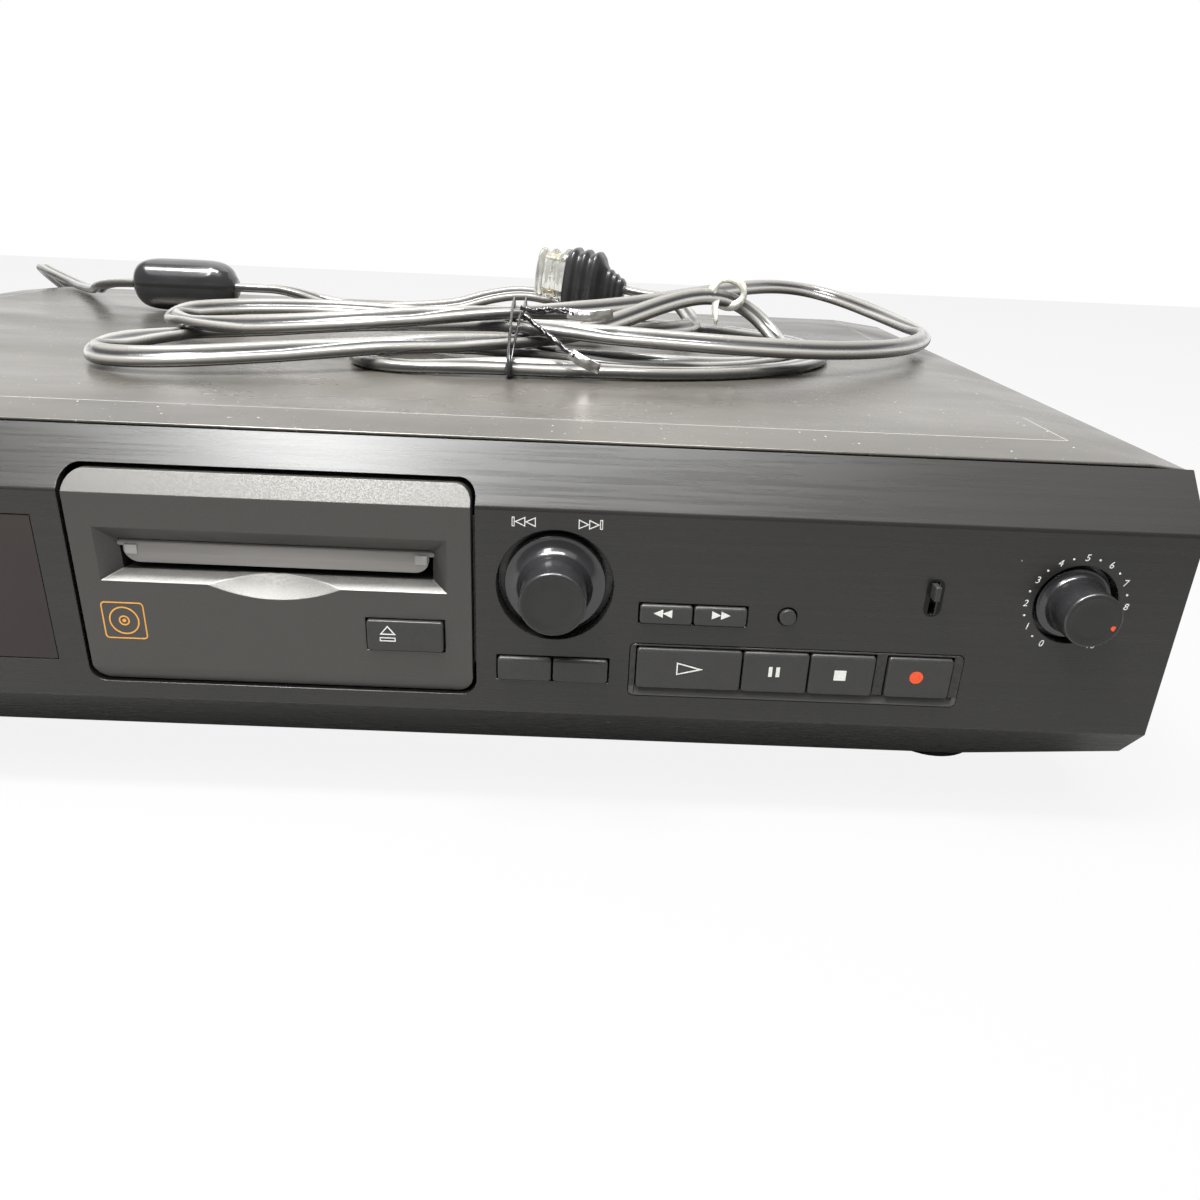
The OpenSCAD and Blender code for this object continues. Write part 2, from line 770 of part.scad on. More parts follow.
// What the cover leaves free inside, open at the front and at the rear.
module cover_hollow() {
    w = cover_w / 2 - sheet;
    z = cover_top - sheet;
    lip = lip_z - sheet;
    side = shoulder_z - sheet;
    slope = (z - lip) / (plateau_y - cover_front);
    intersection() {
        facing(cover_front - 2, cover_rear + 2)
            polygon([[-w, -1], [-w, side], [-plateau_x, z], [plateau_x, z], [w, side], [w, -1]]);
        across(-w, w)
            polygon([[cover_front - 2, -1], [cover_front - 2, lip - 2 * slope], [plateau_y, z],
                [cover_rear + 2, z], [cover_rear + 2, -1]]);
    }
}

module rear_plate() {
    w = cover_in - 0.4;
    top = cover_top - sheet - 0.3;
    side = shoulder_z - sheet - 0.3;
    color(steel)
    difference() {
        facing(rear_face - plate, rear_face)
            polygon([[-w, cover_bottom + 1], [-w, side], [-plateau_x, top], [plateau_x, top],
                [w, side], [w, cover_bottom + 1], [pan_half - 19, plate_top],
                [-pan_half + 19, plate_top]]);
        bar_y(gland_at, gland_r + 0.2, rear_face - 5, rear_face + 1);
        for (i = [0, 1], j = [0, 1])
            bar_y(socket_at + rca_pitch * [i, j], rca_r - 0.85, rear_face - 5, rear_face + 1);
        facing(rear_face - 5, rear_face + 1)
            for (j = [0, 1])
                translate(optical_at + [0, rca_pitch * j])
                    square(optical_side + 0.4, center = true);
        for (x = rear_screw_x)
            bar_y([x, rear_screw_z], 1.7, rear_face - 5, rear_face + 1);
    }
}

module front_bracket() {
    flange_x = pan_half - 22.9;
    color(steel)
    difference() {
        union() {
            facing(bracket_y, bracket_y + plate)
                box2(7.9 - pan_half, pan_half - 7.9, plate_top, ledge_top - 2.2);
            block([-flange_x, bracket_y + plate - 0.1, plate_top], [flange_x, bracket_y + 8,
                plate_top + plate]);
        }
        // room for the mechanism's front posts
        for (p = frame_posts)
            bar_z(p, frame_post_r + fit_gap, plate_top - 1, plate_top + plate + 1);
        facing(bracket_y - 1, bracket_y + plate + 0.01)
            box2(-45, 45, holder_z0 - holder_drop - 2, 76);
        facing(bracket_y - 1, bracket_y + plate + 0.01)
            for (x = ribbon_x)
                box2(x - 12, x + 12, ribbon_z - 2, ribbon_z + 2);
    }
}

module feet() {
    recess = foot_recess;
    color(gloss_black)
    for (s = [-1, 1], y = [foot_front_y, foot_rear_y])
        translate([s * foot_x, y, 0])
            rotate_extrude($fn = 64)
                polygon([[1.7, recess], [sole_r - 4.5, recess], [sole_r - 3.5, 0],
                    [sole_r - 0.8, 0], [sole_r, 0.8], [foot_r, foot_h], [1.7, foot_h]]);
}

// One screw: shank up from the underside of its head.
module screw(shank) {
    head_r = 3.4;
    head_h = 1;
    difference() {
        union() {
            translate([0, 0, -head_h])
                cylinder(h = head_h, r = head_r);
            cylinder(h = shank, r = 1.45);
        }
        for (a = [0, 90])
            rotate(a)
                translate([0, 0, -head_h])
                    cube([3.6, 0.8, 1], center = true);
    }
}

module screws() {
    color([0.12, 0.12, 0.12]) {
        for (s = [-1, 1], y = side_screw_y)
            translate([s * cover_w / 2, y, side_screw_z])
                rotate([0, -90 * s, 0])
                    screw(6);
        for (x = rear_screw_x)
            translate([x, rear_face, rear_screw_z])
                rotate([90, 0, 0])
                    screw(6);
        for (s = [-1, 1], y = [foot_front_y, foot_rear_y])
            translate([s * foot_x, y, foot_recess])
                screw(foot_h - foot_recess + 2.5);
    }
}

// ---- controls -----------------------------------------------------------------------------
// A key: a cap with a bevelled top edge, a retaining flange behind the panel, and its stem.
module key(k, colour) {
    mid = [(k[0] + k[1]) / 2, (k[2] + k[3]) / 2];
    bevel = 0.5;
    color(colour) {
        difference() {
            facing(-key_proud, flange_y0)
                round_box(k[0], k[1], k[2], k[3], 0.6);
            across(k[0] - 1, k[1] + 1)
                polygon([[-key_proud - 1, k[3] + 1], [-key_proud - 1, k[3] - bevel],
                    [-key_proud, k[3] - bevel], [-key_proud + bevel, k[3] + 0.01],
                    [-key_proud + bevel, k[3] + 1]]);
        }
        facing(flange_y0, flange_y0 + flange_t)
            box2(k[0], k[1], k[2] - 0.9, k[3] + 0.9);
        bar_y(mid, stem_r, flange_y0 + flange_t, stem_y1);
    }
}

module eject_button() {
    k = eject_key;
    depth = surround_shell + fit_gap;
    mid = [(k[0] + k[1]) / 2, (k[2] + k[3]) / 2];
    color(dark_key) {
        facing(-key_proud, depth)
            round_box(k[0], k[1], k[2], k[3], 0.6);
        facing(depth, depth + flange_t)
            box2(k[0], k[1], k[2] - 0.9, k[3] + 0.9);
        bar_y(mid, stem_r, depth + flange_t, stem_y1);
    }
}

module edit_button() {
    key(edit_key, dark_key);
}

module confirm_button() {
    key(confirm_key, dark_key);
}

module rewind_button() {
    key(rewind_key, dark_key);
}

module forward_button() {
    key(forward_key, dark_key);
}

module play_button() {
    key(play_key, dark_key);
}

module pause_button() {
    key(pause_key, dark_key);
}

module stop_button() {
    key(stop_key, dark_key);
}

module record_button() {
    key(record_key, dark_key);
}

module display_button() {
    color(dark_key) {
        bar_y(display_key_at, display_key_r, -key_proud, flange_y0);
        bar_y(display_key_at, display_key_r + 1, flange_y0, flange_y0 + flange_t);
        bar_y(display_key_at, stem_r, flange_y0 + flange_t, stem_y1);
    }
}

// A knob's half section turned about its axis: cap, waisted neck and skirt, pointing forward.
module knob_body(at, cap_r, skirt_r, proud, skirt_front, back) {
    edge = 0.7;
    neck = skirt_r - cap_r;
    translate([at[0], 0, at[1]])
        rotate([90, 0, 0])
            rotate_extrude($fn = 72)
                difference() {
                    polygon([[0, -back], [skirt_r - 0.3, -back], [skirt_r, -back + 0.3],
                        [skirt_r, -skirt_front], [cap_r, neck - skirt_front],
                        [cap_r, proud - edge], [cap_r - edge, proud], [0, proud]]);
                    translate([skirt_r + 0.2, neck - skirt_front + 0.2])
                        circle(neck - 0.2);
                }
}

module jog_knob() {
    back = jog_floor - jog_travel - fit_gap;
    color(gloss_black)
    difference() {
        knob_body(jog_at, jog_cap_r, jog_skirt_r, jog_proud, 1.2, back);
        bar_y(jog_at, jog_pin_r + running, -jog_proud + 4, 10);
    }
}

module jog_plunger() {
    collar = jog_floor + jog_wall + fit_gap;
    color(steel) {
        bar_y(jog_at, jog_pin_r, -jog_proud + 4.3, board_y - jog_travel - 0.2);
        bar_y(jog_at, jog_pin_r + 1, collar, collar + 1);
    }
}

module jog_encoder() {
    front = jog_floor + jog_wall + fit_gap + 1 + jog_travel + fit_gap;
    side = 6.5;
    color([0.3, 0.32, 0.36])
    difference() {
        facing(front, board_y)
            translate(jog_at)
                square(2 * side, center = true);
        bar_y(jog_at, jog_pin_r + running, 0, board_y + 1);
    }
}

module level_knob() {
    back = level_floor - fit_gap;
    color(gloss_black)
    difference() {
        union() {
            knob_body(level_at, level_cap_r, level_skirt_r, level_proud, 0.8, back);
            bar_y(level_at, shaft_r, back - 0.1, board_y - 0.6);
        }
        // pointer dot
        translate([level_at[0] + (level_cap_r - 1.7) * sin(109), -level_proud,
            level_at[1] + (level_cap_r - 1.7) * cos(109)])
            rotate([90, 0, 0])
                cylinder(h = 1, r = 0.6, center = true);
    }
}

module level_pot() {
    front = level_floor + level_wall + 0.4;
    color([0.3, 0.32, 0.36])
    difference() {
        union() {
            facing(front + 2, board_y)
                translate(level_at)
                    square(15, center = true);
            bar_y(level_at, shaft_r + 1.5, front, front + 2.1);
        }
        bar_y(level_at, shaft_r + running, 0, board_y + 1);
    }
}

// A slide lever on its carriage, long side up or across.
module lever(at, long_x, long_z, plate_x, plate_z) {
    color(gloss_black) {
        facing(-lever_proud, flange_y0)
            translate(at)
                square([long_x, long_z], center = true);
        facing(flange_y0, flange_y0 + flange_t)
            translate(at)
                square([plate_x, plate_z], center = true);
        facing(flange_y0 + flange_t, flange_y0 + flange_t + 3.6)
            translate(at)
                square([1.6, 1.6], center = true);
    }
}

lever_w = lever_slot_w - 0.6;
input_rest = [input_at[0], input_at[1] + lever_travel / 2];

module input_lever() {
    lever(input_rest, lever_w, lever_l, 5, lever_l + 6);
}

module timer_lever() {
    lever(timer_at, lever_l, lever_w, lever_l + 8, 5);
}

module power_button() {
    w = power_w / 2;
    h = power_h / 2;
    color(dark_key) {
        facing(-2.5, flange_y0)
            translate(power_at)
                round_box(-w, w, -h, h, 1.8);
        facing(flange_y0, flange_y0 + flange_t)
            translate(power_at)
                box2(-w + 1, w - 1, -h - 0.9, h + 0.9);
        bar_y(power_at, stem_r, flange_y0 + flange_t, board_y - 5.4);
    }
}

module standby_lamp() {
    color(lamp_red) {
        bar_y(lamp_at, lamp_r, -0.3, panel_wall + 0.6);
        bar_y(lamp_at, lamp_r + 0.6, panel_wall + 0.3, panel_wall + 1.5);
        for (s = [-1, 1])
            bar_y(lamp_at + [0.7 * s, 0], 0.3, panel_wall + 1.4, board_y);
    }
}

// Switch bodies behind the two levers and the power button.
module panel_switches() {
    body_y = flange_y0 + flange_t + 1;
    color([0.3, 0.32, 0.36]) {
        difference() {
            facing(body_y, board_y)
                translate(input_at)
                    square([7, 17], center = true);
            facing(body_y - 1, body_y + 3.4)
                translate(input_at)
                    square([2.4, lever_travel + 4.4], center = true);
        }
        difference() {
            facing(body_y, board_y)
                translate(timer_at)
                    square([19, 7], center = true);
            facing(body_y - 1, body_y + 3.4)
                translate(timer_at)
                    square([2 * timer_travel + 4.4, 2.4], center = true);
        }
        difference() {
            facing(board_y - 7.2, board_y)
                translate(power_at)
                    square([12, 10], center = true);
            bar_y(power_at, stem_r + 0.4, 0, board_y - 1.6);
        }
    }
}

// ---- behind the panel ---------------------------------------------------------------------
module control_boards() {
    right_end = half_w - 9;
    color(board_green)
    facing(board_y, board_y + board_t) {
        box2(50, right_end, board_z0, board_z1);
        box2(18, 50.1, board_z0, low_board_z);
        box2(-right_end, -52, board_z0, board_z1);
    }
}

function key_mid(k) = [(k[0] + k[1]) / 2, (k[2] + k[3]) / 2];

module tact_switches() {
    keys = [eject_key, edit_key, confirm_key, rewind_key, forward_key, play_key, pause_key,
        stop_key, record_key];
    for (at = concat([for (k = keys) key_mid(k)], [display_key_at])) {
        color([0.25, 0.25, 0.27])
            facing(board_y - tact_t, board_y)
                translate(at)
                    square(tact_side, center = true);
        color([0.8, 0.8, 0.78])
            bar_y(at, 1.7, tact_tip_y, board_y - tact_t);
    }
}

module display_tube() {
    x0 = window_x0 + 8;
    x1 = window_x1 - 8;
    z0 = window_z0 + 4.5;
    z1 = window_z1 - 4.5;
    color([0.25, 0.28, 0.3]) {
        facing(panel_wall + 2, panel_wall + 8)
            box2(x0, x1, z0, z1);
        facing(panel_wall + 8, board_y)
            box2(x0 + 4, x1 - 4, z0 + 2, z1 - 2);
    }
}

// ---- inside -------------------------------------------------------------------------------
module board_plate(b) {
    lying(board_z, board_top)
        box2(b[0], b[2], b[1], b[3]);
}

module main_board() {
    color(board_green)
        board_plate(main_board_box);
}

module power_board() {
    b = power_board_box;
    color(board_green)
        board_plate(b);
    color([0.15, 0.15, 0.16])
        for (i = [0:2])
            bar_z([b[0] + 40 + 24 * i, b[3] - 30], 8, board_top, board_top + 26);
    color(steel)
        block([b[0] + 30, b[1] + 20, board_top], [b[0] + 90, b[1] + 24, board_top + 32]);
    color([0.75, 0.72, 0.65])
        block([b[0] + 8, b[3] - 26, board_top], [b[0] + 18, b[3] - 4, board_top + 8]);
}

module board_parts() {
    b = main_board_box;
    color([0.1, 0.1, 0.11]) {
        for (i = [0:2])
            block([b[0] + 22 + 38 * i, b[1] + 70, board_top], [b[0] + 44 + 38 * i, b[1] + 92,
                board_top + 2.4]);
        block([b[0] + 30, b[1] + 112, board_top], [b[0] + 70, b[1] + 128, board_top + 3]);
    }
    color([0.16, 0.18, 0.3])
        for (i = [0:4])
            bar_z([b[0] + 30 + 16 * i, b[3] - 34], 4, board_top, board_top + 12);
    color(steel)
        block([b[2] - 30, b[1] + 120, board_top], [b[2] - 20, b[1] + 140, board_top + 4.5]);
}

module transformer() {
    w = transformer_w / 2;
    core_y = 11;
    coil_y = 22;
    color([0.35, 0.36, 0.4])
        translate([transformer_at[0], transformer_at[1], plate_top]) {
            block([-w, -core_y, 0], [w, core_y, transformer_h]);
            block([-w - 6, -core_y, 0], [w + 6, core_y, 2]);
        }
    color([0.8, 0.62, 0.25])
        translate([transformer_at[0], transformer_at[1], plate_top + 5])
            for (s = [-1, 1])
                translate([0, s * (core_y + (coil_y - core_y) / 2), (transformer_h - 10) / 2])
                    cube([transformer_w * 0.6, coil_y - core_y, transformer_h - 10],
                        center = true);
}

module rear_jacks() {
    front = rear_face - plate;
    x = socket_at[0] + rca_pitch / 2;
    z = socket_at[1] + rca_pitch / 2;
    color([0.08, 0.08, 0.085]) {
        difference() {
            facing(front - 9, front)
                translate([x, z])
                    square(rca_pitch + 14, center = true);
            for (i = [0, 1], j = [0, 1])
                bar_y(socket_at + rca_pitch * [i, j], 1.7, front - 5, front + 1);
        }
        facing(front - 9, front)
            translate([optical_at[0], z])
                square([optical_side + 4, rca_pitch + 14], center = true);
        for (j = [0, 1])
            facing(front, rear_face + 3.5)
                translate(optical_at + [0, rca_pitch * j])
                    square(optical_side, center = true);
    }
    for (i = [0, 1], j = [0, 1])
        color(i == 0 ? [0.85, 0.85, 0.82] : [0.6, 0.1, 0.1])
            difference() {
                bar_y(socket_at + rca_pitch * [i, j], rca_r - 1, front, rear_face + rca_l - 1.5);
                bar_y(socket_at + rca_pitch * [i, j], 1.7, front - 1, rear_face + rca_l);
            }
}

module jack_shells() {
    color(brass_colour)
        for (i = [0, 1], j = [0, 1])
            difference() {
                bar_y(socket_at + rca_pitch * [i, j], rca_r, rear_face, rear_face + rca_l);
                bar_y(socket_at + rca_pitch * [i, j], rca_r - 0.8, rear_face - 1,
                    rear_face + rca_l + 1);
            }
}

ribbon_x = [-120, 122];
ribbon_z = 34;

module ribbon_cables() {
    half = 10;
    thick = 0.5;
    back = main_board_box[1] + 3;
    color([0.75, 0.74, 0.7])
        for (x = ribbon_x)
            across(x - half, x + half)
                polygon([[board_y + board_t, ribbon_z + thick], [board_y + board_t, ribbon_z],
                    [back, ribbon_z], [back, board_top], [back + thick, board_top],
                    [back + thick, ribbon_z + thick]]);
}

// ---- disc mechanism -----------------------------------------------------------------------
frame_post_r = 4;
frame_posts = [for (x = [-base_half + 7, base_half - 7], y = [base_y0 + 7, base_y1 - 7]) [x, y]];

module mech_frame() {
    wall_top = holder_z0 + holder_h + 1.5;
    post = 3;
    color(steel)
    difference() {
        union() {
            lying(base_z, base_top)
                box2(-base_half, base_half, base_y0, base_y1);
            for (s = [-1, 1])
                across(s > 0 ? wall_x : -base_half, s > 0 ? base_half : -wall_x)
                    box2(base_y0, base_y1, base_z, wall_top);
            for (p = frame_posts)
                bar_z(p, frame_post_r, plate_top, base_z + 0.1);
            // left ends of the sled rods
            for (s = [-1, 1])
                block([rod_x0 - post, spindle_y + s * rod_dy - post, base_top - 0.1],
                    [rod_x0 + 0.2, spindle_y + s * rod_dy + post, rod_z + post]);
        }
        // upright guides for the holder's pins
        for (s = [-1, 1], y = [pin_front_y, pin_rear_y])
            across(s > 0 ? wall_x - 1 : -base_half - 1, s > 0 ? base_half + 1 : -wall_x + 1)
                capsule([y, pin_z - holder_drop], [y, pin_z], pin_slot_r);
        // room for the load gear and its motor, and for the sled gear's shaft
        block([slider_x - 8, load_gear_at[1] - load_r - 2, base_z - 1], [slider_x + 5,
            load_gear_at[1] + load_r + 2, base_top + 0.01]);
        bar_z(sled_gear_at, 1.6, base_z - 1, base_top + 1);
        for (s = [-1, 1])
            bar_x([spindle_y + s * rod_dy, rod_z], rod_r, rod_x0 - 1, rod_x0 + 1);
    }
}

module disc_holder() {
    w = holder_w / 2;
    z1 = holder_z0 + holder_h;
    color([0.5, 0.5, 0.52]) {
        difference() {
            block([-w, holder_y0, holder_z0], [w, holder_y1, z1]);
            block([-holder_in_w / 2, holder_y0 - 1, holder_z0 + holder_wall],
                [holder_in_w / 2, holder_y1 - holder_wall, z1 - holder_wall]);
            // open below between the side lips
            block([-holder_in_w / 2 + holder_lip, holder_y0 - 1, holder_z0 - 1],
                [holder_in_w / 2 - holder_lip, holder_y1 + 1, z1 - holder_wall]);
            // window above the disc's shutter, for the recording head
            block([8, spindle_y - 9, z1 - holder_wall - 1], [33, spindle_y + 9, z1 + 1]);
        }
        for (s = [-1, 1], y = [pin_front_y, pin_rear_y])
            bar_x([y, pin_z], holder_pin_r, s > 0 ? w - 0.1 : -base_half - 1,
                s > 0 ? base_half + 1 : -w + 0.1);
    }
}

module load_slider() {
    pitch = PI * tooth_m;
    color([0.82, 0.8, 0.76])
    difference() {
        union() {
            across(slider_x, slider_x + slider_t)
                box2(slider_y0, slider_y1, slider_z0, slider_z1);
            // rack along the lower edge, its teeth pointing down
            for (i = [-6:6])
                across(slider_x, slider_x + slider_t)
                    translate([load_gear_at[1] + pitch * (i + 0.5), rack_line])
                        rack_tooth(backlash);
        }
        for (y = [pin_front_y, pin_rear_y])
            across(slider_x - 1, slider_x + slider_t + 1)
                capsule([y, pin_z], [y - slider_travel, pin_z - holder_drop], pin_slot_r);
    }
}

// One rack tooth about its pitch line, pointing towards smaller heights.
module rack_tooth(play) {
    m = tooth_m;
    w = PI * m / 4 - play / 2;
    up = m + 0.2;
    down = 0.7 * m;
    t = tan(20);
    polygon([[-w - up * t, up], [w + up * t, up], [w - down * t, -down], [-w + down * t, -down]]);
}

// Involute flank: the point where the string unwound from the base circle reaches an angle.
function involute(rb, a) = rb * [cos(a) + a * PI / 180 * sin(a), sin(a) - a * PI / 180 * cos(a)];

module gear_outline(teeth, play) {
    rp = teeth * tooth_m / 2;
    rb = rp * cos(20);
    ra = rp + 0.7 * tooth_m;
    rr = rp - 0.95 * tooth_m;
    roll_p = sqrt(pow(rp / rb, 2) - 1) * 180 / PI;
    roll_a = sqrt(pow(ra / rb, 2) - 1) * 180 / PI;
    at_pitch = roll_p - atan(roll_p * PI / 180);
    half = 90 / teeth - play / 2 / rp * 180 / PI;
    steps = 5;
    flank = [for (i = [0:steps]) let (p = involute(rb, roll_a * i / steps),
        a = atan2(p[1], p[0]) - at_pitch - half) norm(p) * [cos(a), sin(a)]];
    root = rr * [cos(-at_pitch - half), sin(-at_pitch - half)];
    lower = concat([root], flank);
    circle(rr + 0.02);
    for (i = [0:teeth - 1])
        rotate(360 * i / teeth)
            polygon(concat([[0, 0]], lower, [for (j = [len(lower) - 1:-1:0]) [lower[j][0],
                -lower[j][1]]]));
}

module load_gear() {
    color([0.86, 0.84, 0.8])
        translate([load_gear_at[0] - slider_t / 2 - 0.4, load_gear_at[1], load_gear_at[2]])
            rotate([90, 0, 90])
                linear_extrude(slider_t + 0.8)
                    difference() {
                        rotate(90)
                            gear_outline(load_teeth, backlash);
                        circle(1 + running);
                    }
}

module drive_motors() {
    g = load_gear_at;
    s = sled_gear_at;
    color(steel) {
        bar_x([g[1], g[2]], motor_r, -wall_x, slider_x - 0.9);
        bar_x([g[1], g[2]], 1, slider_x - 1, slider_x + slider_t + 0.8);
        bar_z(s, 6, base_z - 12, base_z);
        bar_z(s, 1, base_z - 1, sled_gear_z + gear_t + 0.4);
        bar_z(s, 1.5, base_z - 0.1, base_top + 0.6);
    }
}

module spindle_motor() {
    color(steel) {
        bar_z([0, spindle_y], spindle_motor_r, base_top, base_top + 5.6);
        bar_z([0, spindle_y], 1.5, base_top + 5.5, base_top + 9.4);
    }
}

module turntable() {
    top = holder_z0 - holder_drop - 0.4;
    color([0.7, 0.7, 0.72])
        difference() {
            union() {
                bar_z([0, spindle_y], turntable_r, base_top + 6.4, top - 0.6);
                bar_z([0, spindle_y], 5, top - 1, top + 1.6);
            }
            bar_z([0, spindle_y], 1.5 + running, base_top, base_top + 9.8);
        }
}

module pickup_sled() {
    x0 = sled_x0;
    x1 = sled_x0 + sled_l;
    z1 = sled_z0 + sled_h;
    y0 = spindle_y - sled_half_y;
    y1 = spindle_y + sled_half_y;
    ext_z = sled_gear_z + gear_t + 1;
    color([0.24, 0.25, 0.28]) {
        difference() {
            union() {
                block([x0, y0, sled_z0], [x1, y1, z1]);
                bar_z([x0 + 6, spindle_y], 3, z1 - 0.1, z1 + 1.6);
                // rear arm that carries the recording head's bracket
                block([x0 + 3, y1 - 0.1, ext_z], [x0 + 3 + arm_w, arm_y + 3, z1]);
                block([x0 + 3, arm_y - 3, ext_z], [x0 + 5, arm_y + 3, arm_z + 3]);
                block([x0 + 1 + arm_w, arm_y - 3, ext_z], [x0 + 3 + arm_w, arm_y + 3, arm_z + 3]);
            }
            for (s = [-1, 1])
                bar_x([spindle_y + s * rod_dy, rod_z], rod_r + running, x0 - 1, x1 + 1);
            bar_x([arm_y, arm_z], 1 + running, x0, x1);
        }
        // rack along the rear edge
        block([sled_gear_at[0] - sled_travel - 5, y1 - 2, sled_gear_z], [sled_gear_at[0] + 3, y1,
            sled_gear_z + gear_t]);
        for (i = [-7:0])
            translate([sled_gear_at[0] + PI * tooth_m * (i + 0.5), sled_rack_y, sled_gear_z])
                linear_extrude(gear_t)
                    mirror([0, 1])
                        rack_tooth(backlash);
    }
}

module sled_rods() {
    color(steel)
        for (s = [-1, 1])
            bar_x([spindle_y + s * rod_dy, rod_z], rod_r, rod_x0 - 1, wall_x);
}

module sled_gear() {
    color([0.86, 0.84, 0.8])
        translate([sled_gear_at[0], sled_gear_at[1], sled_gear_z])
            linear_extrude(gear_t)
                difference() {
                    rotate(-90)
                        gear_outline(sled_teeth, backlash);
                    circle(1 + running);
                }
}

module head_arm() {
    x0 = sled_x0 + 5.3;
    x1 = sled_x0 + 0.7 + arm_w;
    z0 = arm_z - 1.6;
    color([0.72, 0.72, 0.74]) {
        block([x0, spindle_y - 4, z0], [x1, arm_y, z0 + 1]);
        block([x0, arm_y - 2, z0], [x1, arm_y + 2, arm_z + 1.5]);
        block([x0 - 0.6, spindle_y - 4, holder_z0 + holder_h + 0.6], [x1 + 0.6, spindle_y + 4,
            z0 + 0.1]);
        bar_x([arm_y, arm_z], 1, x0 - 2, x1 + 2);
    }
}

// ---- lead ---------------------------------------------------------------------------------
function unit(v) = v / norm(v);

// A point of the smooth curve through four route points, between the middle two.
function curve_point(a, b, c, d, t) = 0.5 * (2 * b + (c - a) * t + (2 * a - 5 * b + 4 * c - d) * t * t
    + (3 * b - a - 3 * c + d) * t * t * t);

function smooth_route(p, n) = let (m = len(p) - 1) concat([for (i = [0:m - 1]) for (k = [0:n - 1])
    curve_point(p[max(i - 1, 0)], p[i], p[i + 1], p[min(i + 2, m)], k / n)], [p[m]]);

function heading(p, i) = unit(p[min(i + 1, len(p) - 1)] - p[max(i - 1, 0)]);

// The lead's wide side lies level, and behind the deck it keeps square to the rear plate.
function wide_side(t, standing) = standing && (t[2] > 0.3 || t[1] > 0.3) ? unit([1, 0, 0] - t[0] * t)
    : unit(cross([0, 0, 1], t));

section = [[lead_w / 2, 0], [lead_w / 3.4, lead_t / 2], [-lead_w / 3.4, lead_t / 2],
    [-lead_w / 2, 0], [-lead_w / 3.4, -lead_t / 2], [lead_w / 3.4, -lead_t / 2]];

// A flat tube of six sides swept along a route.
module flat_tube(p, standing = false) {
    n = len(p);
    s = len(section);
    points = [for (i = [0:n - 1]) let (t = heading(p, i), w = wide_side(t, standing),
        u = cross(t, w)) for (q = section) p[i] + w * q[0] + u * q[1]];
    sides = [for (i = [0:n - 2]) for (k = [0:s - 1]) let (a = i * s + k, b = i * s + (k + 1) % s)
        for (f = [[a, b, b + s], [a, b + s, a + s]]) f];
    front = [for (k = [1:s - 2]) [0, k + 1, k]];
    back = [for (k = [1:s - 2]) [(n - 1) * s, (n - 1) * s + k, (n - 1) * s + k + 1]];
    polyhedron(points = points, faces = concat(front, sides, back));
}

// The hank's middle line at an angle that grows by 180 degrees with each pass of the waist.
function hank_point(a) = let (k = min(floor(a / 180), len(lobe_reach) - 1), s = a / 180 - k,
    c = cos(a - 90), w = waist_y[k] + (waist_y[k + 1] - waist_y[k]) * s,
    z = waist_z[k] + (waist_z[k + 1] - waist_z[k]) * s, u = max(0, 2 * s - 1),
    swell = pow(sin(180 * u), 2), v = min(1, u / 0.45), ramp = v * v * (3 - 2 * v),
    lift = k < len(lobe_reach) - 1 ? swell : ramp, near = pow(1 - c * c, 2))
    [waist_x + lobe_reach[k] * c,
    w + (lobe_tip_y[k] - w) * c * c + lobe_full[k] * lobe_reach[k] * sin(2 * (a - 90)) / 2
        + lobe_bulge[k] * swell,
    lobe_z[k] + (z - lobe_z[k]) * near + lobe_rise[k] * lift];

hank_line = [for (a = [0:hank_step:hank_turn]) hank_point(a)];
hank_start = hank_line[0] - unit(hank_line[1] - hank_line[0]) * lead_w;
hank_end_way = unit(hank_line[len(hank_line) - 1] - hank_line[len(hank_line) - 2]);
hank_end = hank_line[len(hank_line) - 1] + hank_end_way * hank_tail;
hank_route = concat([hank_start], hank_line, [hank_end]);

// Least gap between the hank's strands, from three lines along the lead's width.
function strand_points(a) = let (p = hank_point(a), t = unit(hank_point(a + 1) - p),
    w = unit(cross([0, 0, 1], t))) [for (q = [-0.5, 0, 0.5]) p + w * q * (lead_w - lead_t)];

module echo_hank_gap() {
    fine = [for (a = [0:5:hank_turn]) strand_points(a)];
    least = min([for (i = [0:len(fine) - 1]) for (j = [i + 8:1:len(fine) - 1])
        for (p = fine[i]) for (q = fine[j]) norm(p - q)]) - lead_t;
    echo(least_gap_of_the_hank = least);
}

module cord_lead() {
    way = unit(hank_line[1] - hank_line[0]);
    to_hank = concat(lead_to_hank, [hank_start - way * 9, hank_start - way * 2 * lead_w / 3,
        hank_start]);
    color(cord_grey) {
        flat_tube(lead_over, true);
        flat_tube(smooth_route(to_hank, 2));
    }
}

module cord_hank() {
    echo_hank_gap();
    color(cord_grey)
        flat_tube(hank_route);
}

module cord_filter() {
    l = filter_x1 - filter_x0;
    r = filter_r;
    color(gloss_black)
        translate([filter_x0, filter_at[0], filter_at[1]])
            rotate([90, 0, 90])
                rotate_extrude($fn = 64)
                    polygon([[0, 0], [4.2, 0], [r - 3, 1.6], [r - 0.8, 5], [r, 11], [r, l / 2 - 0.5],
                        [r - 0.5, l / 2], [r, l / 2 + 0.5], [r, l - 11], [r - 0.8, l - 5],
                        [r - 3, l - 1.6], [4.2, l], [0, l]]);
}

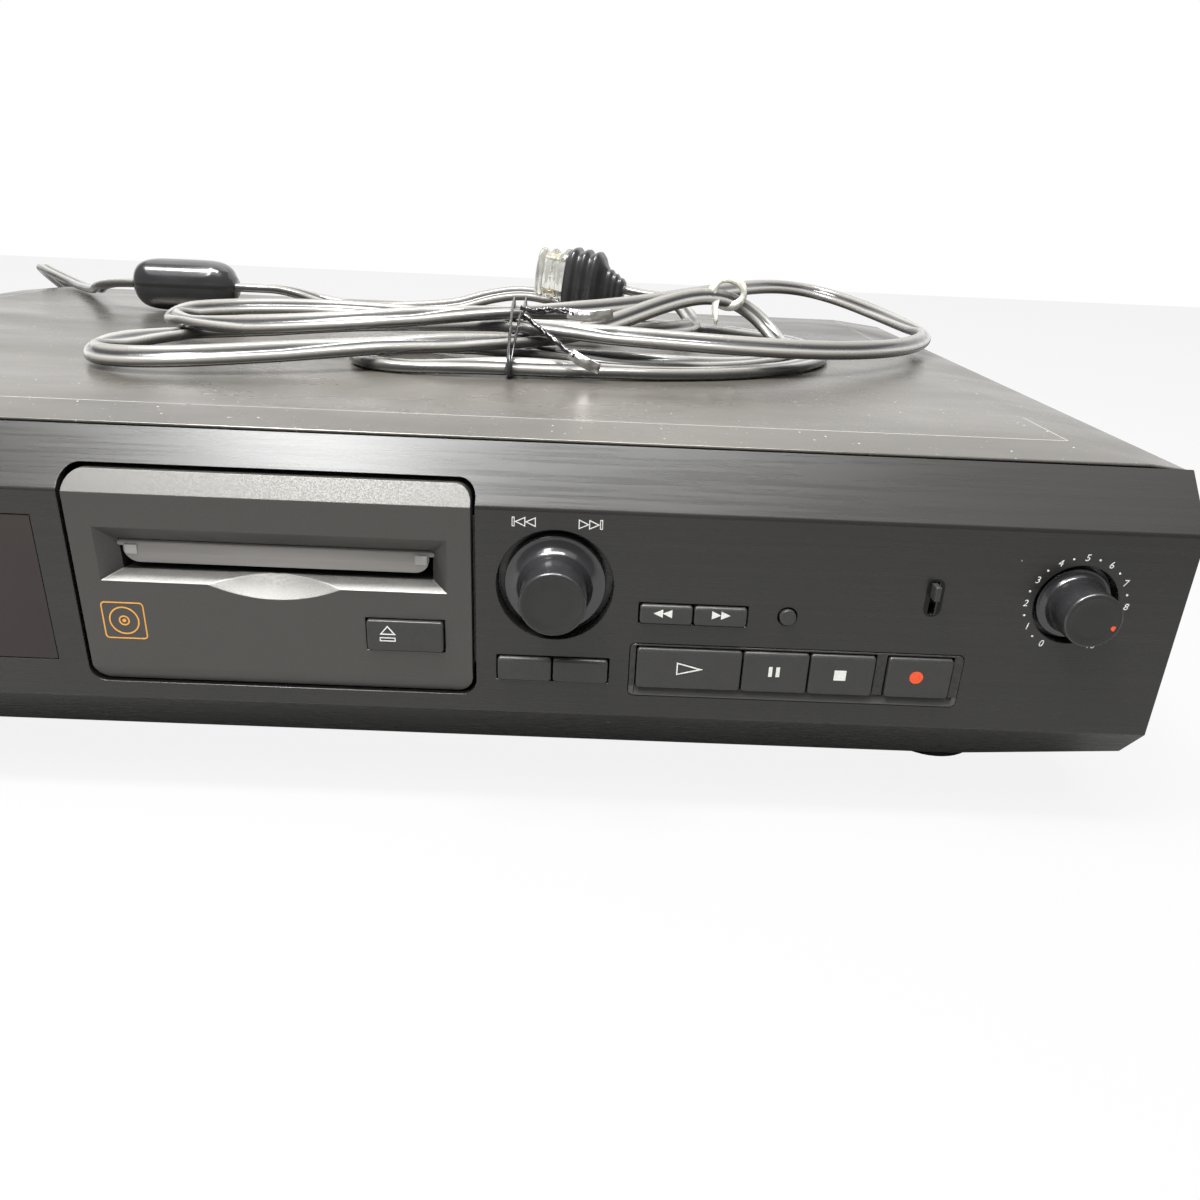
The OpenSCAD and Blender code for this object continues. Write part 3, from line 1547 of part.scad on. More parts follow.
module strain_relief() {
    front = rear_face - plate;
    color([0.1, 0.1, 0.1])
    difference() {
        union() {
            bar_y(gland_at, gland_r, front - 6, rear_face + gland_rear);
            bar_y(gland_at, gland_r + 1.4, rear_face, rear_face + 1.6);
            bar_y(gland_at, gland_r + 1, front - 6, front - 0.2);
        }
        for (i = [0:2])
            translate([gland_at[0], rear_face + 3.2 + 1.8 * i, gland_at[1]])
                rotate([90, 0, 0])
                    rotate_extrude()
                        box2(gland_r - 0.8, gland_r + 1, -0.4, 0.4);
    }
}

// The plug lies on the hank's end, its cap pointing away from the lead.
module at_plug() {
    t = hank_end_way;
    translate(hank_end)
        rotate([0, -asin(t[2]), atan2(t[1], t[0])])
            children();
}

plug_tail = 10;
cap_l = 13;
blade_l = 11.5;

module plug() {
    rib = 2.5;
    color(gloss_black)
    at_plug() {
        for (i = [0:3])
            across(plug_tail * i / 4, plug_tail * (i + 0.72) / 4)
                round_box(-3.6 - 0.5 * i, 3.6 + 0.5 * i, -4.2 - 1.4 * i, 4.2 + 1.4 * i, 2);
        across(0, plug_tail + 0.1)
            round_box(-3.4, 3.4, -3.6, 3.6, 1.5);
        across(plug_tail, plug_tail + plug_body)
            round_box(-8, 8, -11.6, 11.6, 4);
        for (i = [0:2])
            across(plug_tail + 1.5 + 4.8 * i, plug_tail + 1.5 + 4.8 * i + rib)
                round_box(-9, 9, -13, 13, 5);
    }
    color(brass_colour)
    at_plug()
        for (s = [-1, 1])
            across(plug_tail + plug_body - 0.1, plug_tail + plug_body + blade_l)
                box2(-3.15, 3.15, s * 6.35 - 0.75, s * 6.35 + 0.75);
}

module plug_cap() {
    x0 = plug_tail + plug_body;
    color(clear)
    at_plug()
        difference() {
            union() {
                across(x0, x0 + cap_l)
                    round_box(-6.6, 6.6, -10.4, 10.4, 3);
                across(x0, x0 + 1.6)
                    round_box(-8, 8, -11.6, 11.6, 3.5);
            }
            for (s = [-1, 1])
                across(x0 - 1, x0 + cap_l - 1)
                    box2(-3.6, 3.6, s * 6.35 - 1.2, s * 6.35 + 1.2);
        }
}

// The tie: a thin band round the waist, its twisted ends standing off in front.
module cord_tie() {
    band = 0.7;
    half = 2;
    outer = [[78.6, 95.2], [78.6, 101], [101, 113.4], [118.6, 113.4], [119, 95.2]];
    inner = [[78.6 + band, 95.2 + band], [78.6 + band, 101 - band / 2],
        [101 + band / 4, 113.4 - band], [118.6 - band, 113.4 - band], [119 - band, 95.2 + band]];
    color(gloss_black) {
        across(waist_x - half, waist_x + half)
            difference() {
                polygon(outer);
                polygon(inner);
            }
        translate([waist_x + 1.6, 98.6, 113])
            rotate([0, 58, -24])
                for (i = [0:7])
                    translate([0, 0, 3 * i])
                        rotate(45 * i)
                            translate([-1.6, -0.5, 0])
                                cube([3.2, 1, 3]);
    }
}

// ---- the deck -----------------------------------------------------------------------------
deck() front_panel();
deck() slot_surround();
deck() slot_flap();
deck() display_window();
deck() key_tray();
deck() chassis_pan();
deck() top_cover();
deck() rear_plate();
deck() front_bracket();
deck() feet();
deck() screws();
deck() eject_button();
deck() edit_button();
deck() confirm_button();
deck() rewind_button();
deck() forward_button();
deck() play_button();
deck() pause_button();
deck() stop_button();
deck() record_button();
deck() display_button();
deck() jog_plunger();
deck() jog_knob();
deck() level_knob();
deck() input_lever();
deck() timer_lever();
deck() power_button();
deck() standby_lamp();
deck() control_boards();
deck() tact_switches();
deck() jog_encoder();
deck() level_pot();
deck() panel_switches();
deck() display_tube();
deck() main_board();
deck() board_parts();
deck() power_board();
deck() transformer();
deck() rear_jacks();
deck() jack_shells();
deck() ribbon_cables();
deck() mech_frame();
deck() disc_holder();
deck() load_slider();
deck() load_gear();
deck() drive_motors();
deck() spindle_motor();
deck() turntable();
deck() pickup_sled();
deck() sled_rods();
deck() sled_gear();
deck() head_arm();
deck() strain_relief();
deck() cord_lead();
deck() cord_hank();
deck() cord_filter();
deck() plug();
deck() plug_cap();
deck() cord_tie();
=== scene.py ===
import json
import math

import bmesh
import bpy
import numpy as np
from mathutils import Matrix, Vector

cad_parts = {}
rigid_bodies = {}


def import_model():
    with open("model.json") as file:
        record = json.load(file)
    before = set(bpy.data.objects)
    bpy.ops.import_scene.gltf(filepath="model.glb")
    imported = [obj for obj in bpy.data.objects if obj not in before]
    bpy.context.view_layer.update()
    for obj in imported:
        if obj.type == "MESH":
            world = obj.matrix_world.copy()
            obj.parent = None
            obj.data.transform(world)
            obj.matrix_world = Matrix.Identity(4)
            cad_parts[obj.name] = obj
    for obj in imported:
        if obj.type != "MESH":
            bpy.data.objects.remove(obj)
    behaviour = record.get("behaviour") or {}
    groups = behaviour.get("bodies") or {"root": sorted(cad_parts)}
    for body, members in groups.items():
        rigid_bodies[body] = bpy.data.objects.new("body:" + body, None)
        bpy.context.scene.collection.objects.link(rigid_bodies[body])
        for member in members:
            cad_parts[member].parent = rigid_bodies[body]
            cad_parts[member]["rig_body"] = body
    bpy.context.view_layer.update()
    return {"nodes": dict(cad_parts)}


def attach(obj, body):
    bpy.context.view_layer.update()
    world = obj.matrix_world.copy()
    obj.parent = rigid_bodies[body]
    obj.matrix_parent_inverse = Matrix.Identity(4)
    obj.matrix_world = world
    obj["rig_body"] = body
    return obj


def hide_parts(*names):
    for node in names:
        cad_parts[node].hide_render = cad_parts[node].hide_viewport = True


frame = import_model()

# ---- camera ----
# The photograph was taken from close in front and above with a wide lens, turned a little. The
# places of this file are in the deck's own millimetres: X right, Y back from the panel's flat face,
# Z up from the feet. point() turns them into the frame's metres.
MM = 0.001
FACE_Y = -0.140


def point(x, y, z):
    """The frame's place in metres of a place on the deck in millimetres."""
    return np.stack(np.broadcast_arrays(np.asarray(x, float) * MM,
        np.asarray(y, float) * MM + FACE_Y, np.asarray(z, float) * MM), axis=-1)


pitch, yaw, roll = (math.radians(a) for a in (23.12, -0.73, 2.56))
turn = np.array([[math.cos(yaw), -math.sin(yaw), 0], [math.sin(yaw), math.cos(yaw), 0], [0, 0, 1]])
nod = np.array([[1, 0, 0], [0, math.cos(pitch), math.sin(pitch)],
    [0, -math.sin(pitch), math.cos(pitch)]])
right, forward, up = (turn @ nod).T
camera = bpy.data.objects.new("camera", bpy.data.cameras.new("camera"))
bpy.context.scene.collection.objects.link(camera)
camera.data.lens = 27.98
camera.data.sensor_width = 36.0
camera.data.clip_start = 0.01
camera.data.clip_end = 50
axes = Matrix(np.stack([math.cos(roll) * right + math.sin(roll) * up,
    math.cos(roll) * up - math.sin(roll) * right, -forward], axis=1).tolist()).to_4x4()
axes.translation = Vector(point(74.15, -202.67, 144.85))
camera.matrix_world = axes
bpy.context.scene.camera = camera
bpy.context.scene.view_settings.view_transform = "Standard"

# ---- cord path ----
# The mains lead is a flat twin: two cores side by side under one soft grey sheath. It leaves the
# gland at the back, comes over the rear edge, runs through a moulded filter and ends in the hank on
# the cover, which is held at its waist by a tie. The route repeats the solid's.
over_the_edge = [(-185, 291, 40), (-185, 298, 40), (-186, 313, 42), (-191, 328, 51),
    (-201, 337, 66), (-213, 335, 83), (-220, 323, 96), (-214, 306, 102), (-201, 291, 101),
    (-186, 277, 99), (-172, 262, 98), (-149, 230, 100), (-142, 219.2, 102.3), (-136, 212.5, 104),
    (-128.5, 208.4, 105.2), (-122.7, 207.1, 105.6), (-120, 207, 105.6)]
to_the_hank = [(-78, 207, 105.6), (-71, 207, 105.6), (-58, 209, 105), (-44, 213, 101),
    (-28, 217, 98), (8, 223, 100), (24, 228, 104), (40, 232, 106), (58, 233, 103),
    (76, 229, 98.5), (96, 220, 97), (118, 209, 97), (138, 194, 97), (151, 174, 97), (155, 152, 97),
    (150, 130, 97), (137, 111, 97), (118, 97, 97), (96, 89, 97), (72, 85, 97.6), (48, 83, 98.2),
    (30, 82, 97.6), (18, 82.5, 97), (8, 85, 97), (1, 92, 97), (-2, 102.5, 97), (1, 113, 97),
    (8, 120, 97), (17, 122.5, 97)]
LEAD_W, LEAD_T = 6.5, 3.4
FILTER_ENDS = (-120, -78)
WAIST_X = 48
lobe_reach = np.array([95, 124, 157, 122, 64])
lobe_tip_y = np.array([150, 86, 194, 138, 191])
lobe_full = np.array([0.48, 0.48, 0.45, 0.44, 0.64])
lobe_z = np.array([97, 99, 101, 103, 101])
lobe_rise = np.array([16, 0, 8.5, 0, 8.6])
lobe_bulge = np.array([10, 0, 66, 0, 0])
waist_y = np.array([113, 106, 109, 112, 158, 198])
waist_z = np.array([98.2, 102.4, 106.6, 110.8, 101, 101])
HANK_TURN = 855
HANK_TAIL = 10


def smooth(points, steps):
    """A cubic through route points: each stretch leans on the points before and after it."""
    p = np.asarray(points, float)
    a, b = np.vstack([p[:1], p[:-2]]), p[:-1]
    c, d = p[1:], np.vstack([p[2:], p[-1:]])
    t = (np.arange(steps) / steps)[None, :, None]
    a, b, c, d = (q[:, None, :] for q in (a, b, c, d))
    curve = 0.5 * (2 * b + (c - a) * t + (2 * a - 5 * b + 4 * c - d) * t ** 2
        + (3 * b - a - 3 * c + d) * t ** 3)
    return np.vstack([curve.reshape(-1, 3), p[-1:]])


def hank_line(angle):
    """The hank's middle line: a flattened figure whose angle grows by half a turn with each pass
    of the waist, each lobe with its own reach, tip, fullness, height, rise and bulge."""
    angle = np.asarray(angle, float)
    k = np.minimum(angle // 180, len(lobe_reach) - 1).astype(int)
    s = angle / 180 - k
    c = np.cos(np.radians(angle - 90))
    w = waist_y[k] + (waist_y[k + 1] - waist_y[k]) * s
    z = waist_z[k] + (waist_z[k + 1] - waist_z[k]) * s
    u = np.maximum(0, 2 * s - 1)
    swell = np.sin(np.pi * u) ** 2
    v = np.minimum(1, u / 0.45)
    lift = np.where(k < len(lobe_reach) - 1, swell, v * v * (3 - 2 * v))
    near = (1 - c * c) ** 2
    return np.stack([WAIST_X + lobe_reach[k] * c,
        w + (lobe_tip_y[k] - w) * c * c
        + lobe_full[k] * lobe_reach[k] * np.sin(2 * np.radians(angle - 90)) / 2
        + lobe_bulge[k] * swell,
        lobe_z[k] + (z - lobe_z[k]) * near + lobe_rise[k] * lift], axis=-1)


def unit(v):
    return v / np.linalg.norm(v, axis=-1, keepdims=True)


loops = hank_line(np.arange(0, HANK_TURN + 1, 3.0))
rough_loops = hank_line(np.arange(0, HANK_TURN + 1, 15.0))
hank_way = unit(rough_loops[1] - rough_loops[0])
hank_start = rough_loops[0] - hank_way * LEAD_W
end_way = unit(rough_loops[-1] - rough_loops[-2])
hank_end = rough_loops[-1] + end_way * HANK_TAIL
run_in = np.array([hank_start - hank_way * back for back in (9, 2 * LEAD_W / 3, 0)])
lead_path = np.vstack([smooth(over_the_edge, 6),
    smooth(np.vstack([to_the_hank, run_in]), 6)[1:], loops, hank_end[None]])


def evenly(line, step):
    """The same line with its points a step apart."""
    along = np.concatenate([[0], np.cumsum(np.linalg.norm(np.diff(line, axis=0), axis=1))])
    at = np.linspace(0, along[-1], int(along[-1] / step) + 1)
    return np.stack([np.interp(at, along, line[:, k]) for k in range(3)], axis=-1)


def soften(line, times):
    """The line with each inner point drawn towards the middle of its neighbours."""
    for _ in range(times):
        line[1:-1] = line[1:-1] * 0.5 + (line[:-2] + line[2:]) * 0.25
    return line


lead_path = soften(evenly(lead_path, 2.5), 2)
lead_along = np.concatenate([[0], np.cumsum(np.linalg.norm(np.diff(lead_path, axis=0), axis=1))])

# ---- lead ----
# The sheath of soft grey vinyl has a groove on each face between its two cores, and a dull gloss.
# Every new piece is a mesh of points in metres, and its finish a node material.


def piece(name, points, faces, smooth_faces=True):
    """A mesh object at the origin from points in metres and its faces."""
    mesh = bpy.data.meshes.new(name)
    mesh.from_pydata([tuple(p) for p in np.asarray(points)], [],
        [tuple(map(int, face)) for face in faces])
    mesh.update()
    if smooth_faces:
        mesh.polygons.foreach_set("use_smooth", [True] * len(mesh.polygons))
    made = bpy.data.objects.new(name, mesh)
    bpy.context.scene.collection.objects.link(made)
    return made


def grid_faces(rows, columns):
    """The quads of a grid of points whose columns are wrapped round."""
    r, c = np.meshgrid(np.arange(rows - 1), np.arange(columns), indexing="ij")
    a = r * columns + c
    b = r * columns + (c + 1) % columns
    return np.stack([a, b, b + columns, a + columns], axis=-1).reshape(-1, 4)


def closed_faces(rows, columns):
    """The grid's quads with a face over each end."""
    return list(grid_faces(rows, columns)) + [list(range(columns))[::-1],
        list(range((rows - 1) * columns, rows * columns))]


def tube(name, path, section, side):
    """A closed tube: at each point of the path, the section's points along side and across it."""
    t = unit(np.gradient(path, axis=0))
    w = unit(side - (side * t).sum(-1, keepdims=True) * t)
    u = np.cross(t, w)
    q = np.asarray(section, float)
    rings = path[:, None, :] + w[:, None, :] * q[:, :1] + u[:, None, :] * q[:, 1:]
    return piece(name, point(*rings.reshape(-1, 3).T), closed_faces(*rings.shape[:2]))


class Finish:
    """A node material read on Object coordinates: a base colour with a mottle, a roughness that
    varies, a fine relief, and dust. Each call adds one of them."""

    def __init__(self, name, colour, roughness, metallic=0.0, specular=0.5, coat=0.0):
        self.material = bpy.data.materials.new(name)
        self.material.use_nodes = True
        self.tree = self.material.node_tree
        self.shader = self.tree.nodes["Principled BSDF"]
        self.coordinate = self.tree.nodes.new("ShaderNodeTexCoord").outputs["Object"]
        for socket, value in (("Base Color", (*colour, 1)), ("Roughness", roughness),
                ("Metallic", metallic), ("Specular IOR Level", specular), ("Coat Weight", coat),
                ("Coat Roughness", 0.08)):
            self.shader.inputs[socket].default_value = value
        self.colour = tuple(colour)
        self.relief = None

    def node(self, kind, **sockets):
        made = self.tree.nodes.new(kind)
        for socket, value in sockets.items():
            made.inputs[socket].default_value = value
        return made

    def link(self, a, b):
        self.tree.links.new(a, b)

    def maths(self, operation, *values):
        """A math node's result: each value is a number, or another node's output."""
        made = self.node("ShaderNodeMath")
        made.operation = operation
        for socket, value in zip(made.inputs, values):
            if isinstance(value, bpy.types.NodeSocket):
                self.link(value, socket)
            else:
                socket.default_value = value
        return made.outputs["Value"]

    def texture(self, kind, stretch, **sockets):
        """A texture's outputs, with its cells stretched along the axes."""
        mapping = self.node("ShaderNodeMapping", Scale=stretch)
        self.link(self.coordinate, mapping.inputs["Vector"])
        made = self.node(kind, **sockets)
        self.link(mapping.outputs["Vector"], made.inputs["Vector"])
        return made.outputs

    def noise(self, scale, stretch=(1, 1, 1), detail=3.0):
        """Noise from 0 to 1."""
        return self.texture("ShaderNodeTexNoise", stretch, Scale=scale, Detail=detail)["Fac"]

    def ramp(self, value, stops):
        """A value turned into a colour or a number by stops of place and colour."""
        ramp = self.node("ShaderNodeValToRGB")
        band = ramp.color_ramp
        while len(band.elements) < len(stops):
            band.elements.new(0.5)
        for element, (place, colour) in zip(band.elements, stops):
            element.position = place
            element.color = (*colour, 1) if len(colour) == 3 else (colour[0],) * 3 + (1,)
        self.link(value, ramp.inputs["Fac"])
        return ramp.outputs["Color"]

    def mottle(self, value, share, low=0.35, high=0.65):
        """The base colour grows darker and lighter by a share with the value."""
        stops = [(low, tuple(c * (1 - share) for c in self.colour)),
            (high, tuple(min(1, c * (1 + share)) for c in self.colour))]
        self.link(self.ramp(value, stops), self.shader.inputs["Base Color"])
        return self

    def rough(self, value, smooth_, coarse, low=0.35, high=0.65):
        """The roughness goes from one figure to another with the value."""
        self.link(self.ramp(value, [(low, (smooth_,)), (high, (coarse,))]),
            self.shader.inputs["Roughness"])
        return self

    def bump(self, value, height, strength=1.0):
        """A relief of that height in millimetres, on top of those before it."""
        bump = self.node("ShaderNodeBump", Strength=strength, Distance=height * MM)
        self.link(value, bump.inputs["Height"])
        if self.relief is not None:
            self.link(self.relief, bump.inputs["Normal"])
        self.relief = bump.outputs["Normal"]
        self.link(self.relief, self.shader.inputs["Normal"])
        return self

    def specks(self, scale, size, share, colour, stretch=(1, 1, 1)):
        """Small specks: near the middle of some cells the base colour turns to the speck's."""
        cells = self.texture("ShaderNodeTexVoronoi", stretch, Scale=scale)
        pick = self.node("ShaderNodeSeparateColor")
        self.link(cells["Color"], pick.inputs["Color"])
        return self.over(self.maths("MULTIPLY", self.maths("LESS_THAN", cells["Distance"], size),
            self.maths("LESS_THAN", pick.outputs["Red"], share)), colour)

    def line(self, low, high, colour, uneven, over):
        """A painted highlight: another colour in a thin box between two corners, where the uneven
        value is over a limit.
        """
        parts = self.node("ShaderNodeSeparateXYZ")
        self.link(self.coordinate, parts.inputs["Vector"])
        mask = self.maths("GREATER_THAN", uneven, over)
        for axis in range(3):
            mask = self.maths("MULTIPLY", mask, self.maths("COMPARE", parts.outputs[axis],
                (low[axis] + high[axis]) / 2, (high[axis] - low[axis]) / 2))
        return self.over(mask, colour)

    def over(self, mask, colour):
        """The base colour turns to another where the mask is 1."""
        mix = self.node("ShaderNodeMix")
        mix.data_type = "RGBA"
        source = self.shader.inputs["Base Color"]
        if source.is_linked:
            self.link(source.links[0].from_socket, mix.inputs[6])
        else:
            mix.inputs[6].default_value = (*self.colour, 1)
        mix.inputs[7].default_value = (*colour, 1)
        self.link(mask, mix.inputs["Factor"])
        self.link(mix.outputs[2], source)
        return self


def wear(made, finish):
    """Gives a piece or a CAD node one finish."""
    made.data.materials.clear()
    made.data.materials.append(finish.material)
    return made


CORE_AT = 1.55
GROOVE = 0.5
round_lead = np.linspace(0, 2 * np.pi, 28, endpoint=False)
across = LEAD_W / 2 * np.cos(round_lead)
beyond = np.maximum(np.abs(across) - CORE_AT, 0)
thick = LEAD_T / 2 * np.sqrt(np.maximum(0, 1 - (beyond / (LEAD_W / 2 - CORE_AT)) ** 2))
dip = GROOVE * (0.5 + 0.5 * np.cos(np.pi * np.clip(across / CORE_AT, -1, 1)))
lead_section = np.stack([across, np.sign(np.round(np.sin(round_lead), 9)) * (thick - dip)], axis=-1)
lead_section[[0, 14], 1] = 0
level = np.cross([0, 0, 1], unit(np.gradient(lead_path, axis=0)))
settled = np.clip((lead_along - 95) / 30, 0, 1)[:, None]
lead_side = np.array([1.0, 0, 0]) * (1 - settled) + unit(level + 1e-9) * settled
# where it has room over the cover and beside its other turns, the lead leans on its edge, its flat
# side towards the front, but for its start and its ends at the filter and the plug
OWN_STRETCH, START_STRETCH, FILTER_STRETCH, FILTER_ROW = 25, 95, 18, 190
FLAT_APART, EDGE_MORE = 3.8, 3.1
FLAT_Z, EDGE_RISE = 96.9, 1.55
MOST_LEAN = 0.8
apart = np.linalg.norm(lead_path[:, None] - lead_path[None], axis=-1)
apart[np.abs(lead_along[:, None] - lead_along[None]) < OWN_STRETCH] = 99
room = np.clip(np.minimum((apart.min(axis=1) - FLAT_APART) / EDGE_MORE,
    (lead_path[:, 2] - FLAT_Z) / EDGE_RISE), 0, MOST_LEAN)
room[(lead_along < START_STRETCH) | (lead_along > lead_along[-1] - OWN_STRETCH)] = 0
room[(lead_path[:, 0] < FILTER_ENDS[1] + FILTER_STRETCH) & (lead_path[:, 1] > FILTER_ROW)] = 0
room = np.min([np.roll(room, shift) for shift in range(-4, 5)], axis=0)
lean = np.convolve(room, np.ones(11) / 11, "same")
lead_side = unit(lead_side)
lean = (np.arcsin(lean) * np.clip(2.5 * lead_side[:, 1], -1, 1))[:, None]
lead_way = unit(np.gradient(lead_path, axis=0))
lead_side = lead_side * np.cos(lean) + np.cross(lead_way, lead_side) * np.sin(lean)
lead = tube("mains_lead", lead_path, lead_section, lead_side)
lead.data.attributes.new("across", "FLOAT", "POINT").data.foreach_set("value",
    np.tile(across / (LEAD_W / 2), len(lead_path)).astype(np.float32))

sheath = Finish("sheath", (0.09, 0.09, 0.085), 0.24, specular=0.8, coat=0.4)
across_for_painted_light = sheath.node("ShaderNodeAttribute")
across_for_painted_light.attribute_name = "across"
off_middle = sheath.maths("ABSOLUTE", across_for_painted_light.outputs["Fac"])
# across the lead the base colour is painted light: painted shade in the groove and at the edges,
# painted highlights over the two cores
sheath.link(sheath.ramp(off_middle, [(0.0, (0.015,)), (0.16, (0.045,)),
    (0.42, (0.26, 0.25, 0.23)), (0.7, (0.2, 0.19, 0.17)), (1.0, (0.035,))]),
    sheath.shader.inputs["Base Color"])
sheath.rough(sheath.noise(90), 0.16, 0.3).bump(sheath.noise(900), 0.03)
wear(lead, sheath)
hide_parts("cord_lead", "cord_hank")
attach(lead, "deck")

# ---- filter ----
# Two glossy black half shells snapped together round a ferrite core: a barrel with round ends and
# a ridge where the halves meet.
FILTER_R = 10.5
FILTER_AT = (207, 105.6)
u = np.linspace(0, 1, 61)[:, None]
v = np.linspace(0, 2 * np.pi, 96, endpoint=False)[None, :]
ends = np.abs(2 * u - 1)
girth = np.maximum(FILTER_R * (1 - ends ** 5) ** 0.42, 3.9)
seam = 0.22 * np.exp(-((np.sin(v) - 0.1) / 0.05) ** 2) * (1 - ends ** 8)
lower = 0.18 * (np.sin(v) < 0.05)
barrel = girth - 0.25 + seam - lower * (girth > 5)
squarish = (np.abs(np.cos(v)) ** 2.6 + np.abs(np.sin(v)) ** 2.6) ** (-1 / 2.6)
squarish = 1 + (squarish - 1) * np.clip((girth - 4) / 5, 0, 1)
radius = np.minimum(barrel * squarish, FILTER_R)
filter_points = point(FILTER_ENDS[0] + (FILTER_ENDS[1] - FILTER_ENDS[0]) * u + 0 * v,
    FILTER_AT[0] + radius * np.cos(v), FILTER_AT[1] + radius * np.sin(v)).reshape(-1, 3)
core_case = piece("lead_filter", filter_points, [face[::-1] for face in closed_faces(61, 96)])
gloss_case = Finish("filter_case", (0.02, 0.02, 0.021), 0.14, specular=0.7, coat=0.5)
gloss_case.mottle(gloss_case.noise(40), 0.3).rough(gloss_case.noise(60), 0.1, 0.24)
gloss_case.bump(gloss_case.noise(150), 0.05)
wear(core_case, gloss_case)
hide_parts("cord_filter")
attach(core_case, "deck")

# ---- plug ----
# A moulded two-blade plug, ribbed for the fingers, its tail tapering to the lead. A clear cap is
# pushed over its blades.
PLUG_TAIL, PLUG_BODY, CAP_L = 10.0, 15.0, 13.0
plug_flat = math.atan2(end_way[1], end_way[0])
plug_side = np.array([-math.sin(plug_flat), math.cos(plug_flat), 0])
plug_up = np.cross(end_way, plug_side)


def on_plug(x, y, z):
    """A place measured along the plug, across it and up from its axis, in the frame."""
    x, y, z = np.broadcast_arrays(x, y, z)
    return point(*(hank_end + x[..., None] * end_way + y[..., None] * plug_side
        + z[..., None] * plug_up).reshape(-1, 3).T)


def loft(x, half_y, half_z, square, steps=64):
    """A closed body along the plug: at each x a superellipse of those half sizes, whose radius is
    (|cos|^square + |sin|^square)^(-1/square) of them. Its points and its faces."""
    a = np.linspace(0, 2 * np.pi, steps, endpoint=False)[None, :]
    r = (np.abs(np.cos(a)) ** square + np.abs(np.sin(a)) ** square) ** (-1 / square)
    x, half_y, half_z = (np.asarray(q, float)[:, None] for q in (x, half_y, half_z))
    points = on_plug(x + 0 * a, half_y * r * np.cos(a), half_z * r * np.sin(a))
    return points, closed_faces(len(x), steps)


x = np.linspace(0, PLUG_TAIL + PLUG_BODY, 101)
body = np.clip((x - PLUG_TAIL + 1.5) / 2.5, 0, 1)
body = body * body * (3 - 2 * body)
ribs = 0.5 + 0.5 * np.cos((x - PLUG_TAIL - 2.75) / 4.8 * 2 * np.pi)
rings = 0.5 + 0.5 * np.cos(x / 2.5 * 2 * np.pi)
wide = (3.5 + 0.16 * x - 0.45 * rings) * (1 - body) + (7.7 + 1.1 * ribs) * body
tall = (3.6 + 0.5 * x - 0.5 * rings) * (1 - body) + (11.2 + 1.6 * ribs) * body
plug_body = piece("mains_plug", *loft(x, wide, tall, 3.4))
moulded = Finish("plug_moulding", (0.022, 0.022, 0.023), 0.3, specular=0.6, coat=0.2)
moulded.mottle(moulded.noise(70), 0.3).rough(moulded.noise(120), 0.22, 0.42)
moulded.bump(moulded.noise(700), 0.03)
wear(plug_body, moulded)
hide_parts("plug")
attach(plug_body, "deck")

blade_points, blade_faces = [], []
for s in (-1, 1):
    x = np.array([PLUG_TAIL + PLUG_BODY - 0.3, 35.0, 36.2])
    points, faces = loft(x, [3.15, 3.15, 2.4], [0.75, 0.75, 0.5], 8, 16)
    blade_faces += [[i + len(blade_points) for i in f] for f in faces]
    blade_points += list(points + s * 6.35 * MM * plug_up)
blades = piece("plug_blades", np.array(blade_points), blade_faces)
plated = Finish("blade_metal", (0.72, 0.62, 0.42), 0.25, metallic=1.0)
plated.mottle(plated.noise(200, (1, 8, 1)), 0.1)
wear(blades, plated)
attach(blades, "deck")

x = np.concatenate([np.linspace(0, 1.6, 5), np.linspace(1.9, CAP_L, 40)]) + PLUG_TAIL + PLUG_BODY
along = (x - x[0]) / CAP_L
bulge = 0.5 + 0.5 * np.cos((along * 2.5 - 0.35) * 2 * np.pi)
wide = np.where(x - x[0] < 1.7, 7.8, 4.9 + 1.3 * bulge - 0.4 * along ** 3)
tall = np.where(x - x[0] < 1.7, 11.4, 8.9 + 1.7 * bulge - 0.6 * along ** 4)
cap = piece("blade_cap", *loft(x, wide, tall, 2.5))
clear = Finish("clear_vinyl", (0.93, 0.93, 0.88), 0.12, specular=0.5)
clear.shader.inputs["Transmission Weight"].default_value = 0.85
clear.shader.inputs["IOR"].default_value = 1.4
clear.rough(clear.noise(120), 0.06, 0.25).bump(clear.noise(160), 0.8)
wear(cap, clear)
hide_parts("plug_cap")
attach(cap, "deck")

# ---- tie ----
# A flat wire tie with a glossy black jacket, wound twice round the hank's waist, its two ends
# twisted together and bent apart.


def ribbon(name, path, width, thickness, start, turns):
    """A flat strip along a path, turned about it from a start angle by some whole turns."""
    path = evenly(smooth(path, 12), 0.8)
    t = unit(np.gradient(path, axis=0))
    w = unit(np.cross(t, [0.31, 0.11, 0.94]))
    n = np.cross(t, w)
    a = (start + 2 * np.pi * turns * np.linspace(0, 1, len(path)))[:, None]
    side = w * np.cos(a) + n * np.sin(a)
    h, e = width / 2, thickness / 2
    section = [(h, 0), (h * 0.9, e), (0.25 * h, e), (0, e * 1.9), (-0.25 * h, e), (-h * 0.9, e),
        (-h, 0), (-h * 0.9, -e), (0.25 * -h, -e), (0, -e * 1.9), (0.25 * h, -e), (h * 0.9, -e)]
    return tube(name, path, section, side)


